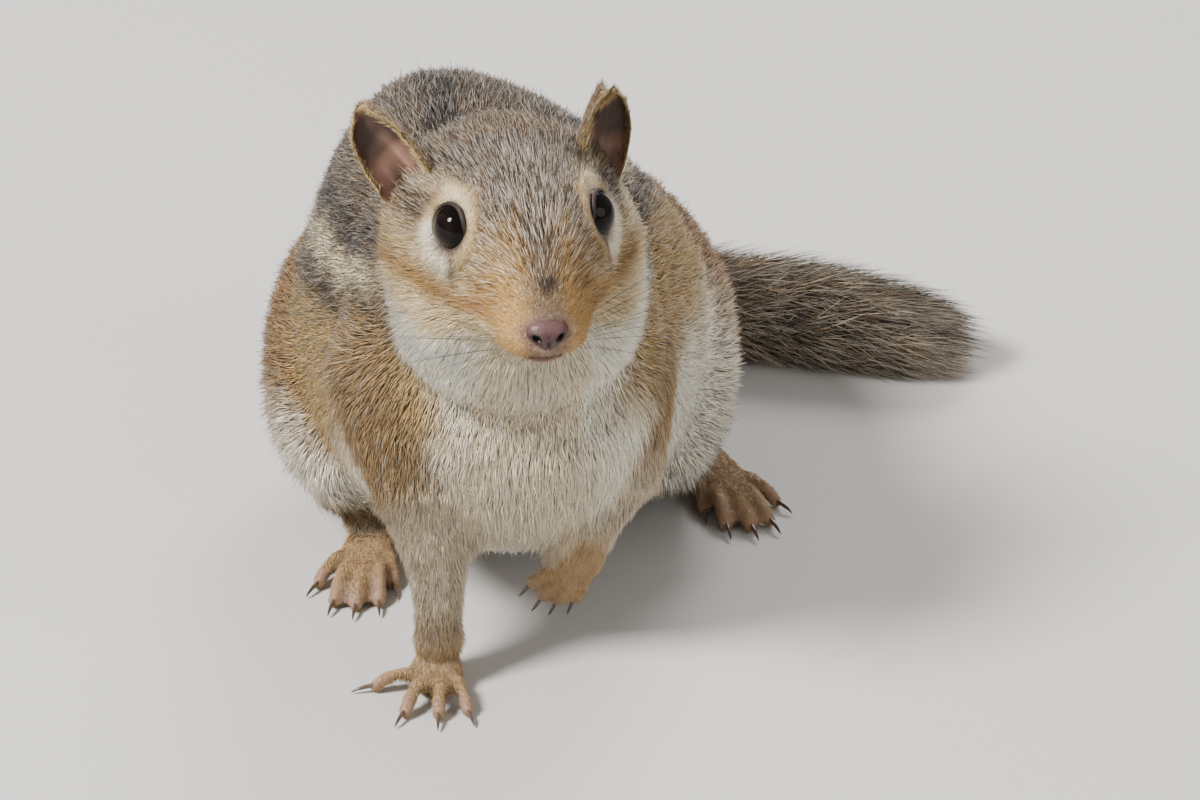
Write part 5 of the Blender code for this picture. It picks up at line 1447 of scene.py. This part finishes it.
def build_stage(settings):
    scene = bpy.context.scene
    aim = CAMERA_AIM + PLAN
    back = Vector((0, -math.cos(CAMERA_TILT), math.sin(CAMERA_TILT)))
    data = bpy.data.cameras.new("camera")
    data.lens = CAMERA_LENS
    data.sensor_width = 36
    data.clip_end = 20
    camera = bpy.data.objects.new("camera", data)
    camera.location = aim + back * CAMERA_AWAY
    camera.rotation_euler = (-back).to_track_quat("-Z", "Y").to_euler()
    scene.collection.objects.link(camera)
    scene.camera = camera

    work = bmesh.new()
    bmesh.ops.create_grid(work, x_segments=8, y_segments=8, size=FLOOR_HALF)
    mesh = bpy.data.meshes.new("floor")
    work.to_mesh(mesh)
    work.free()
    material, nodes, links, shader = new_material("floor")
    shader.inputs["Base Color"].default_value = (*settings.floor, 1)
    shader.inputs["Roughness"].default_value = 0.75
    add_object("floor", mesh, material)

    middle = PLAN + Vector((0.005, 0.045, 0.035))
    for name, away, size, power in (
            ("key", (-0.78, -0.48, 0.95), 0.38, settings.key_power),
            ("fill", (0.85, -0.55, 0.45), 0.7, settings.fill_power),
            ("rim", (0.25, 0.95, 0.75), 0.5, settings.rim_power)):
        light = bpy.data.lights.new(name, "AREA")
        light.shape = "DISK"
        light.size = size
        light.energy = power
        obj = bpy.data.objects.new(name, light)
        obj.location = middle + Vector(away)
        obj.rotation_euler = (-Vector(away)).to_track_quat("-Z", "Y").to_euler()
        scene.collection.objects.link(obj)
    world = bpy.data.worlds.new("studio")
    world.use_nodes = True
    world.node_tree.nodes["Background"].inputs["Color"].default_value = (0.82, 0.82, 0.82, 1)
    world.node_tree.nodes["Background"].inputs["Strength"].default_value = 0.46
    scene.world = world


def flesh_nodes():
    return [node for node in sorted(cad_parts)
            if not node.startswith(("claw", "eye", "nose"))]


class CHIPMUNK_OT_skin(bpy.types.Operator):
    """Build the skin from the flesh of the frame"""
    bl_idname = "chipmunk.skin"
    bl_label = "Build skin"

    def execute(self, context):
        skin = build_skin(context.scene.coat_sizes, Palette(context.scene.coat_colours))
        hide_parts(*flesh_nodes())
        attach(skin, BODY)
        return {"FINISHED"}


class CHIPMUNK_OT_coat(bpy.types.Operator):
    """Lay the tufts of the coat over the skin, with the tail's hair and the whiskers"""
    bl_idname = "chipmunk.coat"
    bl_label = "Build coat"

    def execute(self, context):
        skin = bpy.data.objects.get("skin")
        if skin is None:
            raise RuntimeError("The coat needs the skin: build the skin first")
        palette = Palette(context.scene.coat_colours)
        build_coat(skin, context.scene.coat_sizes, palette)
        build_tail_hair(skin, context.scene.coat_sizes, palette)
        build_whiskers(skin, palette)
        for name in ("Main", "Length", "Close", "Grizzle", "Head", "Feet", "Lie"):
            skin.data.attributes.remove(skin.data.attributes[name])
        return {"FINISHED"}


class CHIPMUNK_OT_face(bpy.types.Operator):
    """Build the eyes and the nose"""
    bl_idname = "chipmunk.face"
    bl_label = "Build face"

    def execute(self, context):
        palette = Palette(context.scene.coat_colours)
        build_eyes(palette)
        build_nose(palette)
        return {"FINISHED"}


class CHIPMUNK_OT_claws(bpy.types.Operator):
    """Build the claws"""
    bl_idname = "chipmunk.claws"
    bl_label = "Build claws"

    def execute(self, context):
        build_claws(Palette(context.scene.coat_colours))
        return {"FINISHED"}


class CHIPMUNK_OT_stage(bpy.types.Operator):
    """Set the camera, the floor and the lights"""
    bl_idname = "chipmunk.stage"
    bl_label = "Build stage"

    def execute(self, context):
        build_stage(context.scene.chipmunk_stage)
        return {"FINISHED"}


OPERATORS = (CHIPMUNK_OT_skin, CHIPMUNK_OT_coat, CHIPMUNK_OT_face, CHIPMUNK_OT_claws,
             CHIPMUNK_OT_stage)


class CHIPMUNK_PT_panel(bpy.types.Panel):
    bl_label = "Chipmunk"
    bl_idname = "CHIPMUNK_PT_panel"
    bl_space_type = "VIEW_3D"
    bl_region_type = "UI"
    bl_category = "Chipmunk"

    def draw(self, context):
        for operator in OPERATORS:
            self.layout.operator(operator.bl_idname)
        for group in (context.scene.coat_sizes, context.scene.coat_colours,
                      context.scene.chipmunk_stage):
            box = self.layout.box()
            for name in type(group).__annotations__:
                box.prop(group, name)


CLASSES = (CoatColours, CoatSizes, StageSettings, *OPERATORS, CHIPMUNK_PT_panel)


def register():
    for made in CLASSES:
        bpy.utils.register_class(made)
    bpy.types.Scene.coat_colours = PointerProperty(type=CoatColours)
    bpy.types.Scene.coat_sizes = PointerProperty(type=CoatSizes)
    bpy.types.Scene.chipmunk_stage = PointerProperty(type=StageSettings)


def unregister():
    del bpy.types.Scene.chipmunk_stage
    del bpy.types.Scene.coat_sizes
    del bpy.types.Scene.coat_colours
    for made in reversed(CLASSES):
        bpy.utils.unregister_class(made)


def write_sizes():
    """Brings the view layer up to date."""
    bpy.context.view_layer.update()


def main():
    register()
    bpy.ops.chipmunk.skin()
    bpy.ops.chipmunk.coat()
    bpy.ops.chipmunk.face()
    bpy.ops.chipmunk.claws()
    bpy.ops.chipmunk.stage()
    write_sizes()


if __name__ == "__main__":
    main()
